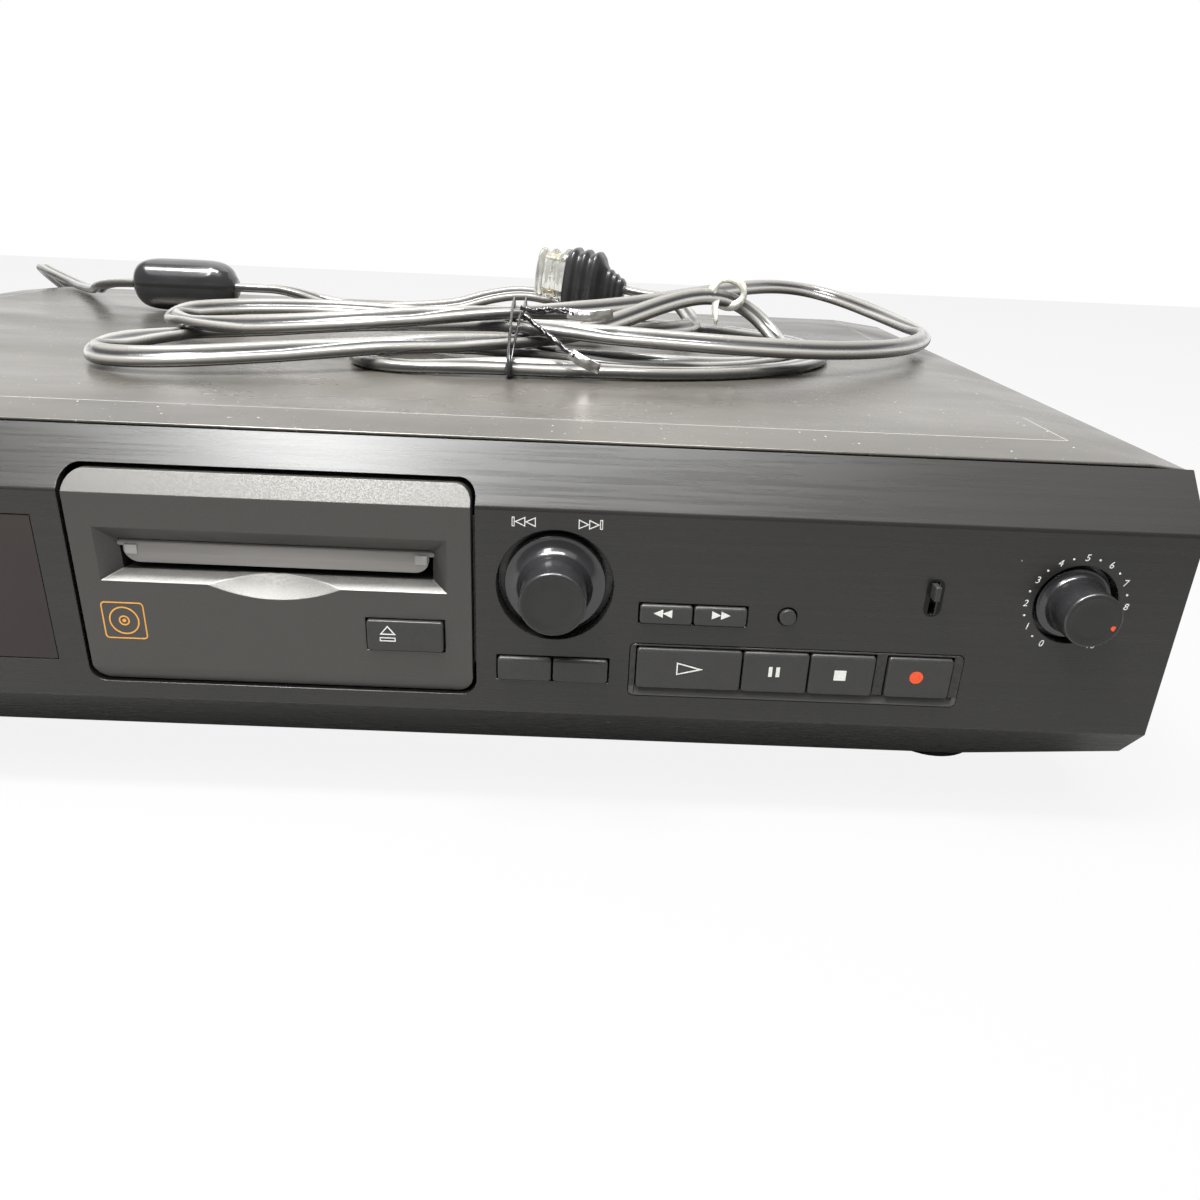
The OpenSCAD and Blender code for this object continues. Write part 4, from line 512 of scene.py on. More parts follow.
tie_band = [(50.5, 99, 112.9), (49.8, 112, 114.1), (49.3, 118, 106), (49, 119.2, 98),
    (48.7, 112, 95.8), (48.4, 96, 95.8), (48, 82, 95.9), (47.6, 78.3, 97.8), (47.2, 82, 102.4),
    (46.8, 98, 112.6), (46.3, 110, 114.2), (45.8, 117, 108), (45.6, 119, 99), (45.8, 110, 95.9),
    (46.6, 90, 95.8), (47.6, 79.3, 97.6), (48.6, 84, 104), (49.5, 96, 111.8)]
tie_ends = [
    [(49.6, 98, 113.6), (54, 97.4, 113.2), (58, 97, 113.8), (62, 96.6, 113), (66, 96.2, 112.6)],
    [(49.4, 97, 113.8), (54, 97.6, 112.6), (58, 97, 112.9), (62, 97, 113.8), (66, 96.4, 112.8)],
    [(51, 93, 112.4), (55, 89.5, 109.6), (59.3, 86, 106.9), (63.6, 82, 104.6), (67, 79.6, 102.4)],
    [(50.6, 94, 112), (55.6, 90, 108.9), (59, 86, 107.5), (64, 82.4, 103.9), (67, 79.4, 102.6)]]
tie_tabs = [[(64, 96.2, 112.8), (70, 95.6, 112.2), (78, 94.6, 113.2)],
    [(65.5, 80.2, 103.2), (70, 78, 101), (74.5, 76.4, 99.4)]]
jacket = Finish("tie_jacket", (0.018, 0.018, 0.019), 0.17, specular=0.7, coat=0.4)
jacket.mottle(jacket.noise(150), 0.3).rough(jacket.noise(200), 0.1, 0.3)
jacket.bump(jacket.noise(300), 0.1)
tab_film = Finish("tie_film", (0.3, 0.29, 0.27), 0.16, metallic=0.7, coat=0.5)
tab_film.mottle(tab_film.noise(220), 0.6).bump(tab_film.noise(240), 0.6)
tie_pieces = [wear(ribbon("tie_band", tie_band, 2.6, 0.45, 1.45, 0.0), jacket)]
for number, path in enumerate(tie_ends):
    tie_pieces.append(wear(ribbon(f"tie_end_{number + 1}", path, 1.5, 0.6, 1.5 * number, 2.5),
        jacket))
for number, path in enumerate(tie_tabs):
    tie_pieces.append(wear(ribbon(f"tie_tab_{number + 1}", path, 3.4, 0.3, 1.2, 0.12), tab_film))
for part in tie_pieces:
    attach(part, "deck")
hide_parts("cord_tie")

# ---- clear ring ----
# A loop of clear soft plastic round one turn of the lead, its thin tail lying down in front.
turn_at = np.linspace(0, 2 * np.pi, 49)[:-1]
loop = np.stack([121.5 + 5.9 * np.sin(turn_at), 163.5 + 0.6 * np.cos(2 * turn_at),
    115.3 + 5.0 * np.cos(turn_at)], axis=-1)
bead = np.linspace(0, 2 * np.pi, 12, endpoint=False)
swell = 1.5 + 0.3 * np.sin(3 * turn_at)[:, None]
spoke = unit(loop - [121.5, 163.5, 115.3])
hoop = loop[:, None, :] + (swell * np.cos(bead))[..., None] * spoke[:, None, :] \
    + (swell * np.sin(bead))[..., None] * np.array([0, 1.0, 0])
ring = piece("clear_ring", point(*hoop.reshape(-1, 3).T),
    np.vstack([grid_faces(48, 12), [[47 * 12 + c, 47 * 12 + (c + 1) % 12, (c + 1) % 12, c]
        for c in range(12)]]))
milky = Finish("ring_vinyl", (0.9, 0.88, 0.78), 0.2, specular=0.5)
milky.shader.inputs["Transmission Weight"].default_value = 0.45
milky.mottle(milky.noise(300), 0.15).bump(milky.noise(300), 0.5)
wear(ring, milky)
tail = ribbon("clear_ring_tail", [(117.2, 162.6, 112.6), (115.6, 150, 111.4), (114.4, 138, 110.3),
    (113.7, 127, 109)], 3.0, 0.7, 0.6, 0.2)
wear(tail, milky)
for part in (ring, tail):
    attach(part, "deck")

point(-185, 291, 40)
point(*lead_path.T)

# ---- studio ----
# A white floor and backdrop. A narrow soft lamp high at the left front makes the bright patch on
# the panel's upper band, a wide one over the front lights the cover, a broad one fills the front.
def shown_white(finish, rays_picked):
    """The finish is plain white to the rays that a factor picks, and itself to all others."""
    glow = finish.node("ShaderNodeEmission", Strength=1.0)
    glow.inputs["Color"].default_value = (1, 1, 1, 1)
    mix = finish.node("ShaderNodeMixShader")
    finish.link(rays_picked, mix.inputs["Fac"])
    finish.link(finish.shader.outputs["BSDF"], mix.inputs[1])
    finish.link(glow.outputs["Emission"], mix.inputs[2])
    finish.link(mix.outputs["Shader"], finish.tree.nodes["Material Output"].inputs["Surface"])


FLOOR_SEEN = 0.88
sweep = piece("floor", [(-9, -9, 0), (9, -9, 0), (9, 9, 0), (-9, 9, 0)], [(0, 1, 2, 3)], False)
ground = Finish("floor_white", (0.3, 0.3, 0.295), 0.9, specular=0.1)
ground.mottle(ground.noise(1.0), 0.01)
seen = ground.node("ShaderNodeLightPath").outputs
shown_white(ground, ground.maths("MULTIPLY", seen["Is Camera Ray"], FLOOR_SEEN))
wear(sweep, ground)
wall = piece("backdrop", [(-3, 1.6, -0.01), (3, 1.6, -0.01), (3, 1.6, 1.5), (-3, 1.6, 1.5)],
    [(0, 1, 2, 3)], False)
paper = Finish("backdrop_white", (0.86, 0.86, 0.86), 0.9, specular=0.1)
paper.mottle(paper.noise(1.0), 0.01)
seen = paper.node("ShaderNodeLightPath").outputs
shown_white(paper, paper.maths("MAXIMUM", seen["Is Camera Ray"], seen["Is Glossy Ray"]))
wear(wall, paper)

world = bpy.data.worlds.new("studio")
bpy.context.scene.world = world
world.use_nodes = True
sky_nodes, sky_links = world.node_tree.nodes, world.node_tree.links
sky = sky_nodes["Background"]
plain = sky_nodes.new("ShaderNodeBackground")
for background, colour, strength in ((sky, (0.97, 0.985, 1.0, 1), 0.3), (plain, (1, 1, 1, 1), 1.0)):
    background.inputs["Color"].default_value = colour
    background.inputs["Strength"].default_value = strength
pick = sky_nodes.new("ShaderNodeMixShader")
sky_links.new(sky_nodes.new("ShaderNodeLightPath").outputs["Is Camera Ray"], pick.inputs["Fac"])
sky_links.new(sky.outputs["Background"], pick.inputs[1])
sky_links.new(plain.outputs["Background"], pick.inputs[2])
sky_links.new(pick.outputs["Shader"], sky_nodes["World Output"].inputs["Surface"])


def soft_lamp(name, place, aim, width, height, power):
    """A rectangular soft lamp at a place, facing a point."""
    light = bpy.data.lights.new(name, "AREA")
    light.shape = "RECTANGLE"
    light.size, light.size_y, light.energy = width, height, power
    lamp = bpy.data.objects.new(name, light)
    bpy.context.scene.collection.objects.link(lamp)
    lamp.location = place
    lamp.rotation_mode = "QUATERNION"
    lamp.rotation_quaternion = (Vector(aim) - Vector(place)).to_track_quat("-Z", "Y")


soft_lamp("lamp_left", (-0.28, -0.45, 1.0), (-0.28, -0.451, 0.0), 0.25, 0.95, 15.0)
soft_lamp("lamp_over", (-0.1, -0.22, 1.02), (-0.1, -0.221, 0.0), 0.9, 0.16, 20.0)
soft_lamp("lamp_broad", (0.1, -0.5, 1.1), (0.1, -0.501, 0.0), 1.9, 0.9, 6.2)
soft_lamp("ceiling", (0.0, 0.9, 1.5), (0.0, 0.0, 0.05), 2.2, 1.2, 10.0)

# ---- cover ----
# Folded steel sheet, painted a dark satin grey with a fine grain, dusty and lightly scratched.
# Copies of the CAD's solids get rounded edges: the widest rounding in millimetres, the angles in
# degrees under which faces are joined and over which edges count as sharp, and the smallest width.
WIDEST = 2.0
FLAT_JOIN, CREASE, SHARP = 0.6, 4, 14
SMALLEST = 0.03
ROOM_SHARE = 0.42


def room_beside(edge):
    """The shortest edge in millimetres that leaves this one's ends at more than a slight angle."""
    way = (edge.verts[1].co - edge.verts[0].co).normalized()
    room = 100.0
    for vertex in edge.verts:
        for other in vertex.link_edges:
            run = other.other_vert(vertex).co - vertex.co
            if other is not edge and run.length > 0 and abs(run.normalized().dot(way)) < 0.85:
                room = min(room, run.length / MM)
    return room


def softened(node, width, segments=2, wider=None, convex=False):
    """A copy of a CAD node with its triangles joined into flat faces, the small ones convex if
    asked, and its edges rounded by a width in millimetres, or by what wider gives for an edge."""
    source = frame["nodes"][node]
    mesh = source.data.copy()
    mesh.name = node + "_soft"
    shell = bmesh.new()
    shell.from_mesh(mesh)
    bmesh.ops.remove_doubles(shell, verts=shell.verts, dist=2e-6)
    bmesh.ops.dissolve_limit(shell, angle_limit=math.radians(FLAT_JOIN), verts=shell.verts,
        edges=shell.edges)
    if convex:
        bmesh.ops.connect_verts_concave(shell, faces=[face for face in shell.faces
            if face.calc_area() < 1e-3])
    share = shell.edges.layers.float.new("bevel_weight_edge")
    for edge in shell.edges:
        angle = math.degrees(edge.calc_face_angle(0))
        own = wider(edge, angle, edge.calc_length() / MM) if wider and angle > CREASE else 0
        if not own and angle <= SHARP:
            continue
        own = min(own or width, ROOM_SHARE * room_beside(edge))
        if own < SMALLEST:
            edge.smooth = False
        else:
            edge[share] = own / WIDEST
    shell.to_mesh(mesh)
    shell.free()
    mesh.polygons.foreach_set("use_smooth", [True] * len(mesh.polygons))
    made = bpy.data.objects.new(node + "_soft", mesh)
    bpy.context.scene.collection.objects.link(made)
    edge = made.modifiers.new("edge", "BEVEL")
    edge.width = WIDEST * MM
    edge.segments = segments
    edge.limit_method = "WEIGHT"
    edge.use_clamp_overlap = False
    lean_to = made.modifiers.new("flat_faces", "WEIGHTED_NORMAL")
    lean_to.weight = 100
    lean_to.keep_sharp = True
    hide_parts(node)
    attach(made, source["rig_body"])
    return made


cover = softened("top_cover", 0.35, 3, lambda edge, angle, length: 0.8 if length > 80 else 0,
    convex=True)
paint = Finish("cover_paint", (0.105, 0.097, 0.085), 0.24, metallic=0.45, specular=0.8)
cloud = paint.noise(9, (1, 1.6, 1), 4)
paint.mottle(cloud, 0.3)
paint.rough(paint.noise(16, (1, 2.5, 1), 5), 0.22, 0.36)
paint.bump(paint.noise(500, (1, 0.25, 1), 2), 0.012)
paint.bump(paint.noise(5, (1, 1.4, 1), 2), 0.7, 0.5)
paint.specks(700, 0.11, 0.2, (0.5, 0.48, 0.44))
paint.specks(300, 0.07, 0.3, (0.75, 0.72, 0.66))
paint.specks(60, 0.05, 0.18, (0.5, 0.48, 0.44), (5, 1.3, 1))
fold_highlight_breaks = paint.noise(14, (1, 1, 1), 4)
# lighter lines along the front fold and the side folds are painted highlights on the bends, broken
# up by noise
paint.line(point(-191.5, 26.4, 94), point(191.5, 26.75, 96), (0.42, 0.41, 0.38), fold_highlight_breaks, 0.4)
for fold_x in (-191.5, 191.5):
    paint.line(point(fold_x - 0.25, 26.6, 94), point(fold_x + 0.25, 284, 96), (0.35, 0.33, 0.29),
        fold_highlight_breaks, 0.44)
wear(cover, paint)

# ---- front panel ----
# A black moulding whose face is brushed with fine level hairlines. Its upper band leans back and
# its lower band leans under.
panel = softened("front_panel", 0.22, 3,
    lambda edge, angle, length: 0.7 if angle < 60 and length > 80 else 0)
brushed = Finish("panel_black", (0.014, 0.013, 0.0118), 0.26, specular=0.55)
hair = brushed.noise(260, (0.03, 2.2, 2.2), 4)
brushed.mottle(hair, 0.09)
brushed.rough(brushed.noise(900, (0.03, 1, 1), 3), 0.25, 0.32)
brushed.bump(hair, 0.007)
brushed.specks(150, 0.03, 0.12, (0.4, 0.39, 0.36))
wear(panel, brushed)

# ---- slot surround ----
# A separate moulding in speckled metallic grey paint, with the flared slot and its thumb scoop.
surround = softened("slot_surround", 0.2, convex=True)
speckled = Finish("surround_paint", (0.1, 0.0975, 0.0925), 0.5, metallic=0.85, specular=0.5)
flake = speckled.noise(2600, (1, 1, 1), 2)
speckled.mottle(flake, 0.1, 0.4, 0.6)
speckled.rough(flake, 0.42, 0.6, 0.4, 0.6)
speckled.bump(flake, 0.006)
wear(surround, speckled)
# the lip and the scoop, on their faces that look upwards, get a lighter copy of the paint: a
# painted highlight for the light from above
lip_painted_highlight = Finish("surround_lip_painted_highlight", (0.27, 0.265, 0.25), 0.5, metallic=0.85, specular=0.5)
spangle = lip_painted_highlight.noise(2600, (1, 1, 1), 2)
lip_painted_highlight.mottle(spangle, 0.12, 0.4, 0.6).rough(spangle, 0.42, 0.6, 0.4, 0.6).bump(spangle, 0.008)
surround.data.materials.append(lip_painted_highlight.material)
for face in surround.data.polygons:
    middle = face.center
    if face.normal.z > 0.25 and 55.5 * MM < middle.z < 61.5 * MM and middle.y < FACE_Y + 4 * MM:
        face.material_index = 1

# ---- flap ----
# A moulded smoky grey flap, sprung on two end pins. Its ends carry small clear brackets.
smoked = Finish("flap_smoke", (0.28, 0.265, 0.25), 0.3, specular=0.5)
smoked.mottle(smoked.noise(30, (0.3, 1, 3)), 0.25).rough(smoked.noise(80), 0.3, 0.42)
wear(frame["nodes"]["slot_flap"], smoked)
bracket_tint = Finish("flap_bracket", (0.32, 0.31, 0.3), 0.18, specular=0.6, coat=0.5)
bracket_tint.mottle(bracket_tint.noise(150), 0.2)
for name, x0, x1 in (("flap_end_left", -35.6, -32.6), ("flap_end_right", 32.6, 35.6)):
    corners = [(x, y, z) for x in (x0, x1) for y in (3.2, 3.75) for z in (63.9, 66.4)]
    bracket = piece(name, point(*np.array(corners).T), [(0, 1, 3, 2), (4, 6, 7, 5), (0, 4, 5, 1),
        (2, 3, 7, 6), (0, 2, 6, 4), (1, 5, 7, 3)])
    edge = bracket.modifiers.new("edge", "BEVEL")
    edge.width = 0.2 * MM
    edge.segments = 2
    edge.harden_normals = True
    wear(bracket, bracket_tint)
    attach(bracket, "flap")

# ---- window ----
# A clear sheet tinted so dark a red that it looks black-brown, set flush in the panel.
window = softened("display_window", 0.15)
tint = Finish("window_tint", (0.024, 0.0145, 0.0135), 0.09, specular=0.45)
tint.mottle(tint.noise(12), 0.25).rough(tint.noise(25), 0.06, 0.14)
wear(window, tint)

# ---- keys ----
# Satin dark grey caps with a bevelled top edge. The tray round the transport keys has a speckled
# lower lip, painted lighter as a painted highlight.
cap_grey = Finish("key_satin", (0.03, 0.0292, 0.028), 0.38, specular=0.5)
grain = cap_grey.noise(2600, (1, 1, 1), 2)
cap_grey.mottle(grain, 0.08, 0.4, 0.6).rough(cap_grey.noise(300), 0.33, 0.45)
cap_grey.bump(grain, 0.004)

KEY_DEPTH = 8.5


def round_outline(x0, x1, z0, z1, r, steps=7):
    """A rectangle with round corners, from its lower right corner round to the left."""
    points = []
    for cx, cz, start in ((x1 - r, z0 + r, -90), (x1 - r, z1 - r, 0), (x0 + r, z1 - r, 90),
            (x0 + r, z0 + r, 180)):
        a = np.radians(start + np.linspace(0, 90, steps))
        points += list(zip(cx + r * np.cos(a), cz + r * np.sin(a)))
    return points


def moulded_key(node, finish, corner=0.8, edge=0.4):
    """A key's cap: rounded rectangles from its front to its back. Near the front they are drawn in
    by edge times one minus the sine of a quarter turn, at a depth of edge times one minus its
    cosine, and their top is lower by the solid's bevel. The cap's sizes are the solid's."""
    solid = frame["nodes"][node]
    flat = np.zeros(len(solid.data.vertices) * 3)
    solid.data.vertices.foreach_get("co", flat)
    x, y, z = flat.reshape(-1, 3).T / MM
    y = y - FACE_Y / MM
    shown = y < y.min() + 2.2
    face = y < y.min() + 0.02
    x0, x1, z0, z1 = x[shown].min(), x[shown].max(), z[shown].min(), z[shown].max()
    bevel = z1 - z[face].max()
    turn = np.radians(np.linspace(0, 90, 6))
    depth = np.concatenate([[0, 0], edge * (1 - np.cos(turn)),
        np.linspace(bevel + 0.5, KEY_DEPTH, 4)])
    inset_by = np.concatenate([[edge + 0.3, edge + 0.02], edge * (1 - np.sin(turn)), np.zeros(4)])
    rings = [[(px, y.min() + d, pz) for px, pz in round_outline(x0 + i, x1 - i, z0 + i,
        z1 - i - max(0, bevel - d), max(corner - i, 0.15))] for d, i in zip(depth, inset_by)]
    made = piece(node + "_cap", point(*np.array(rings).reshape(-1, 3).T),
        [face[::-1] for face in closed_faces(len(rings), len(rings[0]))])
    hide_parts(node)
    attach(made, solid["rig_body"])
    return wear(made, finish)


for key in ("eject", "edit", "confirm", "rewind", "forward", "play", "pause", "stop", "record"):
    moulded_key(key + "_button", cap_grey)
wear(softened("display_button", 0.3, 3), cap_grey)
tray = softened("key_tray", 0.18)
tray_paint = Finish("tray_paint", (0.03, 0.029, 0.0275), 0.33, metallic=0.2)
flecks = tray_paint.noise(1800, (1, 1, 1), 2)
tray_paint.mottle(flecks, 0.25, 0.42, 0.6).bump(flecks, 0.015)
# the lower lip is painted lighter: a painted highlight where the lip catches the light from above
tray_paint.line(point(80, -0.5, 33), point(170, 3, 35.9), (0.075, 0.073, 0.069), flecks, -1)
wear(tray, tray_paint)
for node in ("power_button", "input_lever", "timer_lever"):
    wear(softened(node, 0.25, 3), cap_grey)

# ---- printing ----
# The symbols are printed in a thin coat of ink, in off-white, orange and red.
ink = {}
# the black coat is painted shade, laid over the oval opening round the input lever
for colour_name, colour in (("white", (0.78, 0.78, 0.74)), ("orange", (0.75, 0.36, 0.07)),
        ("red", (0.85, 0.1, 0.03)), ("black", (0.004, 0.004, 0.004))):
    ink[colour_name] = Finish("ink_" + colour_name, colour, 0.5, specular=0.3)
    ink[colour_name].mottle(ink[colour_name].noise(2500, (1, 1, 1), 2), 0.08)
INK = 0.04


def inset(outline, width):
    """An outline's points moved inwards by a width, each along its corner's bisector."""
    p = np.asarray(outline, float)
    before, after = unit(p - np.roll(p, 1, 0)), unit(np.roll(p, -1, 0) - p)
    n1 = np.stack([-before[:, 1], before[:, 0]], axis=-1)
    n2 = np.stack([-after[:, 1], after[:, 0]], axis=-1)
    return p + (n1 + n2) * (width / (1 + (n1 * n2).sum(-1, keepdims=True)))


def printed(name, shapes, depth, body, colour):
    """A print on the panel: filled outlines, or rings between an outline and its inset or its
    inner outline, as thin plates whose front lies an ink's thickness before the depth."""
    points, faces = [], []
    for outline, width in shapes:
        outer = np.asarray(outline, float)
        after = np.roll(outer, -1, 0)
        area = (outer[:, 0] * after[:, 1] - outer[:, 1] * after[:, 0]).sum()
        outer = outer if area > 0 else outer[::-1]
        n, start = len(outer), len(points)
        if width is None:
            for y in (depth - INK, depth):
                points += [(x, y, z) for x, z in outer]
            faces += [[start + i for i in face[::-1]] for face in closed_faces(2, n)]
        else:
            inner = inset(outer, width) if np.isscalar(width) else np.asarray(width)
            for y in (depth - INK, depth):
                points += [(x, y, z) for x, z in outer] + [(x, y, z) for x, z in inner]
            for i in range(n):
                j = (i + 1) % n
                o, k, d = start, start + n, start + 2 * n
                faces += [[o + i, o + j, k + j, k + i], [d + i, d + n + i, d + n + j, d + j],
                    [o + i, d + i, d + j, o + j], [k + i, k + j, d + n + j, d + n + i]]
    made = piece(name, point(*np.array(points, float).T), faces, False)
    wear(made, ink[colour])
    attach(made, body)
    return made


def box_outline(x0, x1, z0, z1):
    return [(x0, z0), (x1, z0), (x1, z1), (x0, z1)]


def disc_outline(x, z, r, steps=40):
    a = np.linspace(0, 2 * np.pi, steps, endpoint=False)
    return np.stack([x + r * np.cos(a), z + r * np.sin(a)], axis=-1)


def arrow(x, z, length, height, way=1):
    """A triangle that points right, or left for a way of -1, with its base at x."""
    return [(x, z - height / 2), (x + way * length, z), (x, z + height / 2)]


KEY_FRONT = -1.0
for key, colour, shapes in (
        ("play", "white", [(arrow(96.0, 41.4, 6.4, 3.4), 0.3)]),
        ("pause", "white", [(box_outline(118.4, 119.3, 40.2, 42.85), None),
            (box_outline(120.2, 121.1, 40.2, 42.85), None)]),
        ("stop", "white", [(box_outline(134.4, 137.3, 39.9, 42.6), None)]),
        ("record", "red", [(disc_outline(154.45, 41.5, 1.65), None)]),
        ("rewind", "white", [(arrow(91.75, 55.85, 2.2, 2.1, -1), None),
            (arrow(93.95, 55.85, 2.2, 2.1, -1), None)]),
        ("forward", "white", [(arrow(103.35, 55.95, 2.2, 2.1), None),
            (arrow(105.55, 55.95, 2.2, 2.1), None)]),
        ("eject", "white", [([(24.4, 47.5), (28.3, 47.5), (26.35, 49.9)], 0.28),
            (box_outline(24.4, 28.2, 45.75, 46.8), 0.25)])):
    printed("mark_" + key, shapes, KEY_FRONT, key + "_key", colour)
printed("mark_skip_back", [(box_outline(55.8, 56.45, 75.8, 78.1), 0.18),
    (arrow(58.9, 76.97, 2.5, 2.4, -1), 0.22), (arrow(61.3, 76.97, 2.5, 2.4, -1), 0.22)], 0, "deck",
    "white")
printed("mark_skip_on", [(box_outline(76.0, 76.65, 75.8, 78.1), 0.18),
    (arrow(71.1, 76.88, 2.5, 2.4), 0.22), (arrow(73.5, 76.88, 2.5, 2.4), 0.22)], 0, "deck", "white")

# a plain disc sign in a rounded frame, where the surround had a badge
BADGE_X, BADGE_Z = -36.7, 48.1
printed("mark_disc", [(round_outline(BADGE_X - 5.1, BADGE_X + 5.1, BADGE_Z - 4.8, BADGE_Z + 4.8, 1),
    0.32), (disc_outline(BADGE_X, BADGE_Z, 3.6, 64), 0.35),
    (disc_outline(BADGE_X, BADGE_Z, 1.3), 0.35), (disc_outline(BADGE_X, BADGE_Z, 0.45, 24), None)],
    0, "deck", "orange")

# a black plate painted as the shade of the oval opening round the input lever's slot, with the slot
# cut in it
INPUT_AT = np.array([155.4, 62.2])
oval = np.array(round_outline(-2.1, 2.1, -4.8, 4.8, 2.05, 9))
cut = oval * np.minimum(1.0 / np.maximum(np.abs(oval[:, :1]), 0.01),
    4.2 / np.maximum(np.abs(oval[:, 1:]), 0.01))
printed("input_slot_shade", [(INPUT_AT + oval, INPUT_AT + cut)], 0, "deck", "black")

# the level dial: plain numbers and dots, 30 degrees apart
LEVEL_AT = (189.0, 61.8)
DIAL_R = 11.9
DIAL_START, DIAL_STEP = -150, 30
half_steps = np.radians(DIAL_START + DIAL_STEP * (np.arange(10) + 0.5))
printed("dial_dots", [(disc_outline(LEVEL_AT[0] + DIAL_R * math.sin(a),
    LEVEL_AT[1] + DIAL_R * math.cos(a), 0.26, 16), None) for a in half_steps], 0, "deck", "white")
for number in range(11):
    a = math.radians(DIAL_START + DIAL_STEP * number)
    curve = bpy.data.curves.new(f"number_{number}", "FONT")
    curve.body = str(number)
    curve.size = 2.35 * MM
    curve.shear = 0.22
    curve.align_x, curve.align_y = "CENTER", "CENTER"
    curve.extrude = INK * MM / 2
    written = bpy.data.objects.new(f"number_{number}", curve)
    bpy.context.scene.collection.objects.link(written)
    bpy.context.view_layer.update()
    mesh = bpy.data.meshes.new_from_object(written.evaluated_get(
        bpy.context.evaluated_depsgraph_get()))
    bpy.data.objects.remove(written)
    mesh.transform(Matrix.Translation(Vector(point(LEVEL_AT[0] + DIAL_R * math.sin(a), -INK / 2,
        LEVEL_AT[1] + DIAL_R * math.cos(a)))) @ Matrix.Rotation(math.pi / 2, 4, "X"))
    digit = bpy.data.objects.new(f"dial_{number}", mesh)
    bpy.context.scene.collection.objects.link(digit)
    wear(digit, ink["white"])
    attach(digit, "deck")

# ---- knobs ----
# Glossy black knobs with a skirt that sits in a recess, a hollow flare, and a matt front.


def turned(name, profile, at, finish, node, steps=160):
    """A solid of revolution about the knob's axis from points of radius and distance before the
    panel."""
    r, p = np.asarray(profile, float).T
    a = np.linspace(0, 2 * np.pi, steps, endpoint=False)
    points = point(at[0] + r[:, None] * np.sin(a), -p[:, None] + 0 * a,
        at[1] + r[:, None] * np.cos(a))
    made = piece(name, points.reshape(-1, 3), closed_faces(len(profile), steps))
    wear(made, finish)
    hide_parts(node)
    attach(made, frame["nodes"][node]["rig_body"])
    return made


def knob_profile(skirt_r, skirt_front, cap_r, proud, back, bore):
    """Back face, skirt edge, hollow flare, cap side and a rounded front, in that order."""
    flare = np.radians(np.linspace(270, 180, 15))
    hollow = skirt_r - cap_r - 0.4
    corner = np.radians(np.linspace(0, 90, 7))
    rim = 0.65
    return ([(bore, -back), (skirt_r - 0.3, -back), (skirt_r, -back + 0.3),
        (skirt_r, -skirt_front - 0.25), (skirt_r - 0.08, -skirt_front - 0.06),
        (skirt_r - 0.3, -skirt_front)]
        + [(skirt_r - 0.4 + hollow * math.cos(t), -skirt_front + hollow * (1 + math.sin(t)))
            for t in flare]
        + [(cap_r, proud * 0.5), (cap_r - 0.04, proud - rim - 0.1)]
        + [(cap_r - 0.04 - rim + rim * math.cos(t), proud - rim + rim * math.sin(t))
            for t in corner]
        + [(cap_r - 1.2, proud), (cap_r - 1.26, proud - 0.06), (cap_r * 0.5, proud - 0.07),
            (0.01, proud - 0.07)])


JOG_AT = (66.0, 61.4)
knob_gloss = Finish("knob_gloss", (0.018, 0.018, 0.019), 0.16, specular=0.6, coat=0.5)
knob_gloss.mottle(knob_gloss.noise(60), 0.3).rough(knob_gloss.noise(90), 0.2, 0.32)
knob_gloss.bump(knob_gloss.noise(220), 0.02)
knob_matt = Finish("knob_front", (0.018, 0.0176, 0.0168), 0.42, specular=0.45)
matt_grain = knob_matt.noise(2600, (1, 1, 1), 2)
knob_matt.mottle(matt_grain, 0.08, 0.4, 0.6).bump(matt_grain, 0.003)
JOG_PROUD, LEVEL_PROUD = 11.5, 9.3
jog = turned("jog_knob_turned", knob_profile(12, 1.2, 7.7, JOG_PROUD, 3.2, 3.05), JOG_AT,
    knob_gloss, "jog_knob")
level_knob = turned("level_knob_turned", knob_profile(8.8, 0.8, 6.7, LEVEL_PROUD, 3.2, 0.01),
    LEVEL_AT, knob_gloss, "level_knob")
for knob, proud in ((jog, JOG_PROUD), (level_knob, LEVEL_PROUD)):
    knob.data.materials.append(knob_matt.material)
    middles = np.zeros(len(knob.data.polygons) * 3)
    knob.data.polygons.foreach_get("center", middles)
    front = middles.reshape(-1, 3)[:, 1] < point(0, -proud + 0.08, 0)[1]
    knob.data.polygons.foreach_set("material_index", front.astype(np.int32))
dot = math.radians(109)
DOT_AT = 5.1
printed("level_pointer", [(disc_outline(LEVEL_AT[0] + DOT_AT * math.sin(dot),
    LEVEL_AT[1] + DOT_AT * math.cos(dot), 0.62, 24), None)], -9.24, "level_wheel", "red")

# ---- feet, plates and screws ----
# Moulded feet, zinc-plated steel plates and blackened screws.
rubber = Finish("foot_plastic", (0.03, 0.03, 0.031), 0.45)
rubber.mottle(rubber.noise(300), 0.25).bump(rubber.noise(900), 0.03)
wear(softened("feet", 0.25), rubber)
zinc = Finish("zinc_plate", (0.5, 0.5, 0.49), 0.34, metallic=1.0)
zinc.mottle(zinc.noise(70, (1, 1, 1), 5), 0.2).rough(zinc.noise(40), 0.28, 0.46)
zinc.bump(zinc.noise(400), 0.01)
black_steel = Finish("screw_black", (0.06, 0.06, 0.06), 0.3, metallic=0.8)
black_steel.mottle(black_steel.noise(500), 0.3)
wear(softened("rear_plate", 0.2), zinc)
for node in ("chassis_pan", "front_bracket", "mech_frame", "sled_rods", "jog_plunger"):
    wear(frame["nodes"][node], zinc)
wear(softened("screws", 0.12), black_steel)

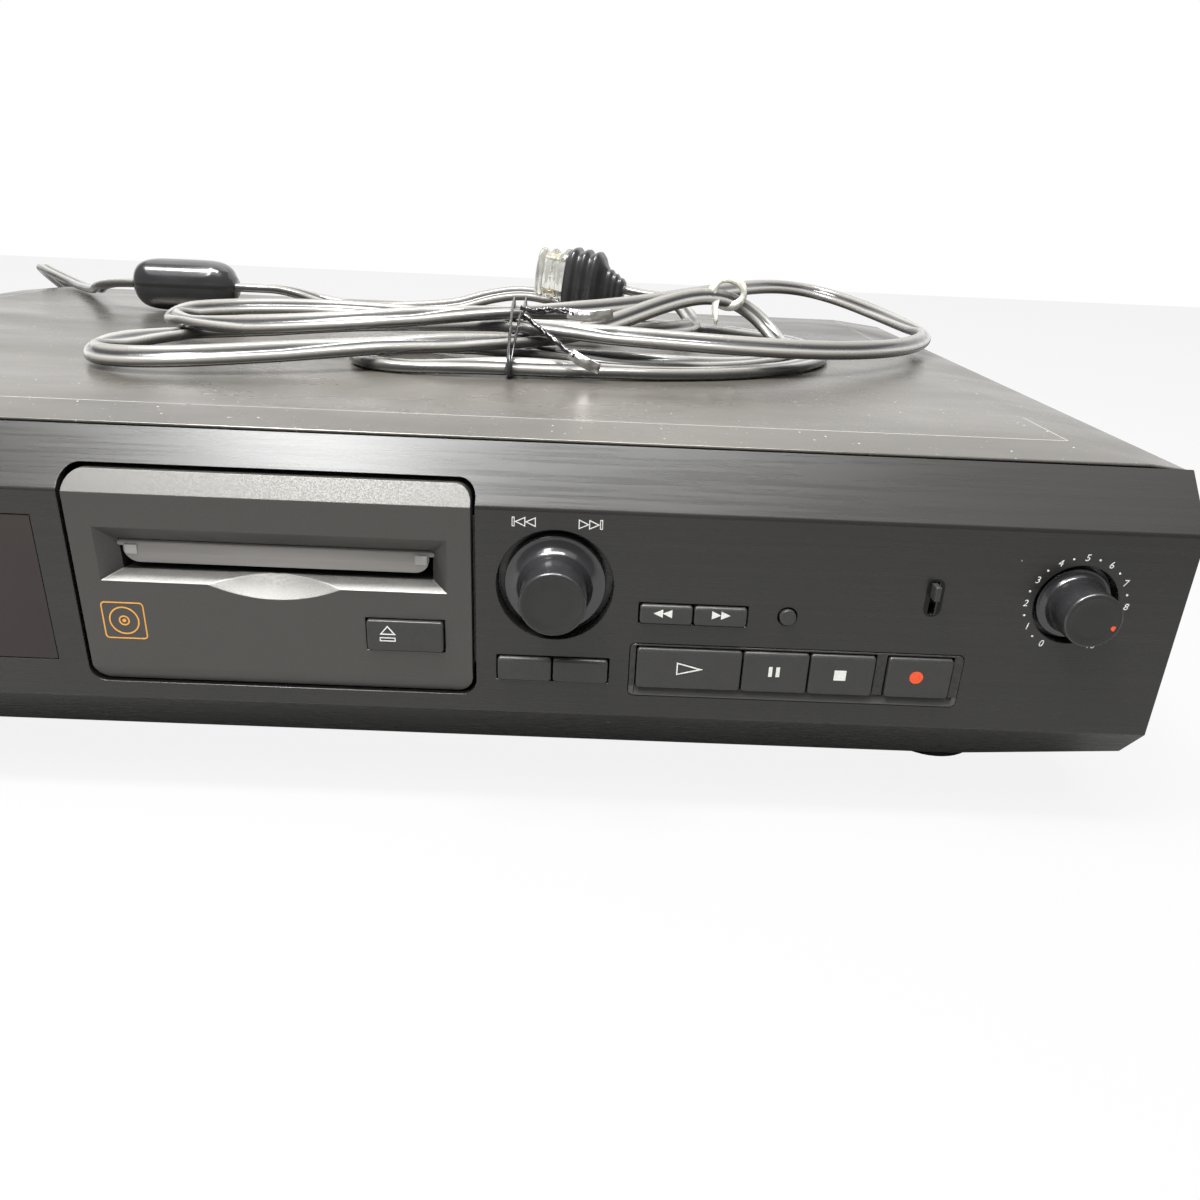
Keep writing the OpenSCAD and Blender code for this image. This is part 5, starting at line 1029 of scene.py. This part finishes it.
# ---- boards and electronics ----
# Green solder mask on the boards, black and grey mouldings, a dark glass display tube, gilt jack
# shells, cast and moulded parts of the disc mechanism.
mask = Finish("solder_mask", (0.03, 0.11, 0.05), 0.35, specular=0.5)
mask.mottle(mask.noise(120, (1, 1, 1), 2), 0.35)
mask.specks(420, 0.16, 0.5, (0.55, 0.56, 0.5))
for node in ("control_boards", "main_board", "power_board"):
    wear(frame["nodes"][node], mask)
black_part = Finish("part_black", (0.035, 0.035, 0.037), 0.42)
black_part.mottle(black_part.noise(400), 0.3).bump(black_part.noise(1200), 0.01)
brass = Finish("shell_gold", (0.85, 0.62, 0.26), 0.22, metallic=1.0)
brass.mottle(brass.noise(200), 0.12).rough(brass.noise(120), 0.16, 0.3)
alloy = Finish("die_cast", (0.5, 0.5, 0.51), 0.42, metallic=1.0)
alloy.mottle(alloy.noise(300), 0.18).bump(alloy.noise(700), 0.015)
for finish, nodes in ((black_part, ("board_parts", "tact_switches", "rear_jacks", "strain_relief")),
        (zinc, ("drive_motors", "spindle_motor")),
        (alloy, ("disc_holder", "turntable", "pickup_sled", "head_arm"))):
    for node in nodes:
        wear(frame["nodes"][node], finish)
# name, colour, roughness, metallic, coat, the mottle's scale, stretch and share, nodes
for name, colour, roughness, metallic, coat, scale, stretch, mottled, nodes in (
        ("part_grey", (0.2, 0.205, 0.22), 0.45, 0, 0, 300, (1, 1, 1), 0.2,
            ("jog_encoder", "level_pot", "panel_switches")),
        ("display_glass", (0.02, 0.025, 0.026), 0.08, 0, 0.5, 60, (0.2, 1, 3), 0.4,
            ("display_tube",)),
        ("transformer_core", (0.16, 0.165, 0.18), 0.4, 0.6, 0, 500, (0.02, 1, 0.02), 0.5,
            ("transformer",)),
        ("flat_cable", (0.55, 0.54, 0.5), 0.5, 0, 0, 400, (3, 0.05, 0.05), 0.3,
            ("ribbon_cables",)),
        ("gear_acetal", (0.7, 0.67, 0.6), 0.4, 0, 0, 200, (1, 1, 1), 0.08,
            ("load_slider", "load_gear", "sled_gear")),
        ("lamp_lens", (0.4, 0.02, 0.015), 0.12, 0, 0.5, 400, (1, 1, 1), 0.3,
            ("standby_lamp",))):
    finish = Finish(name, colour, roughness, metallic=metallic, coat=coat)
    finish.mottle(finish.noise(scale, stretch), mottled)
    for node in nodes:
        wear(frame["nodes"][node], finish)
wear(softened("jack_shells", 0.1), brass)
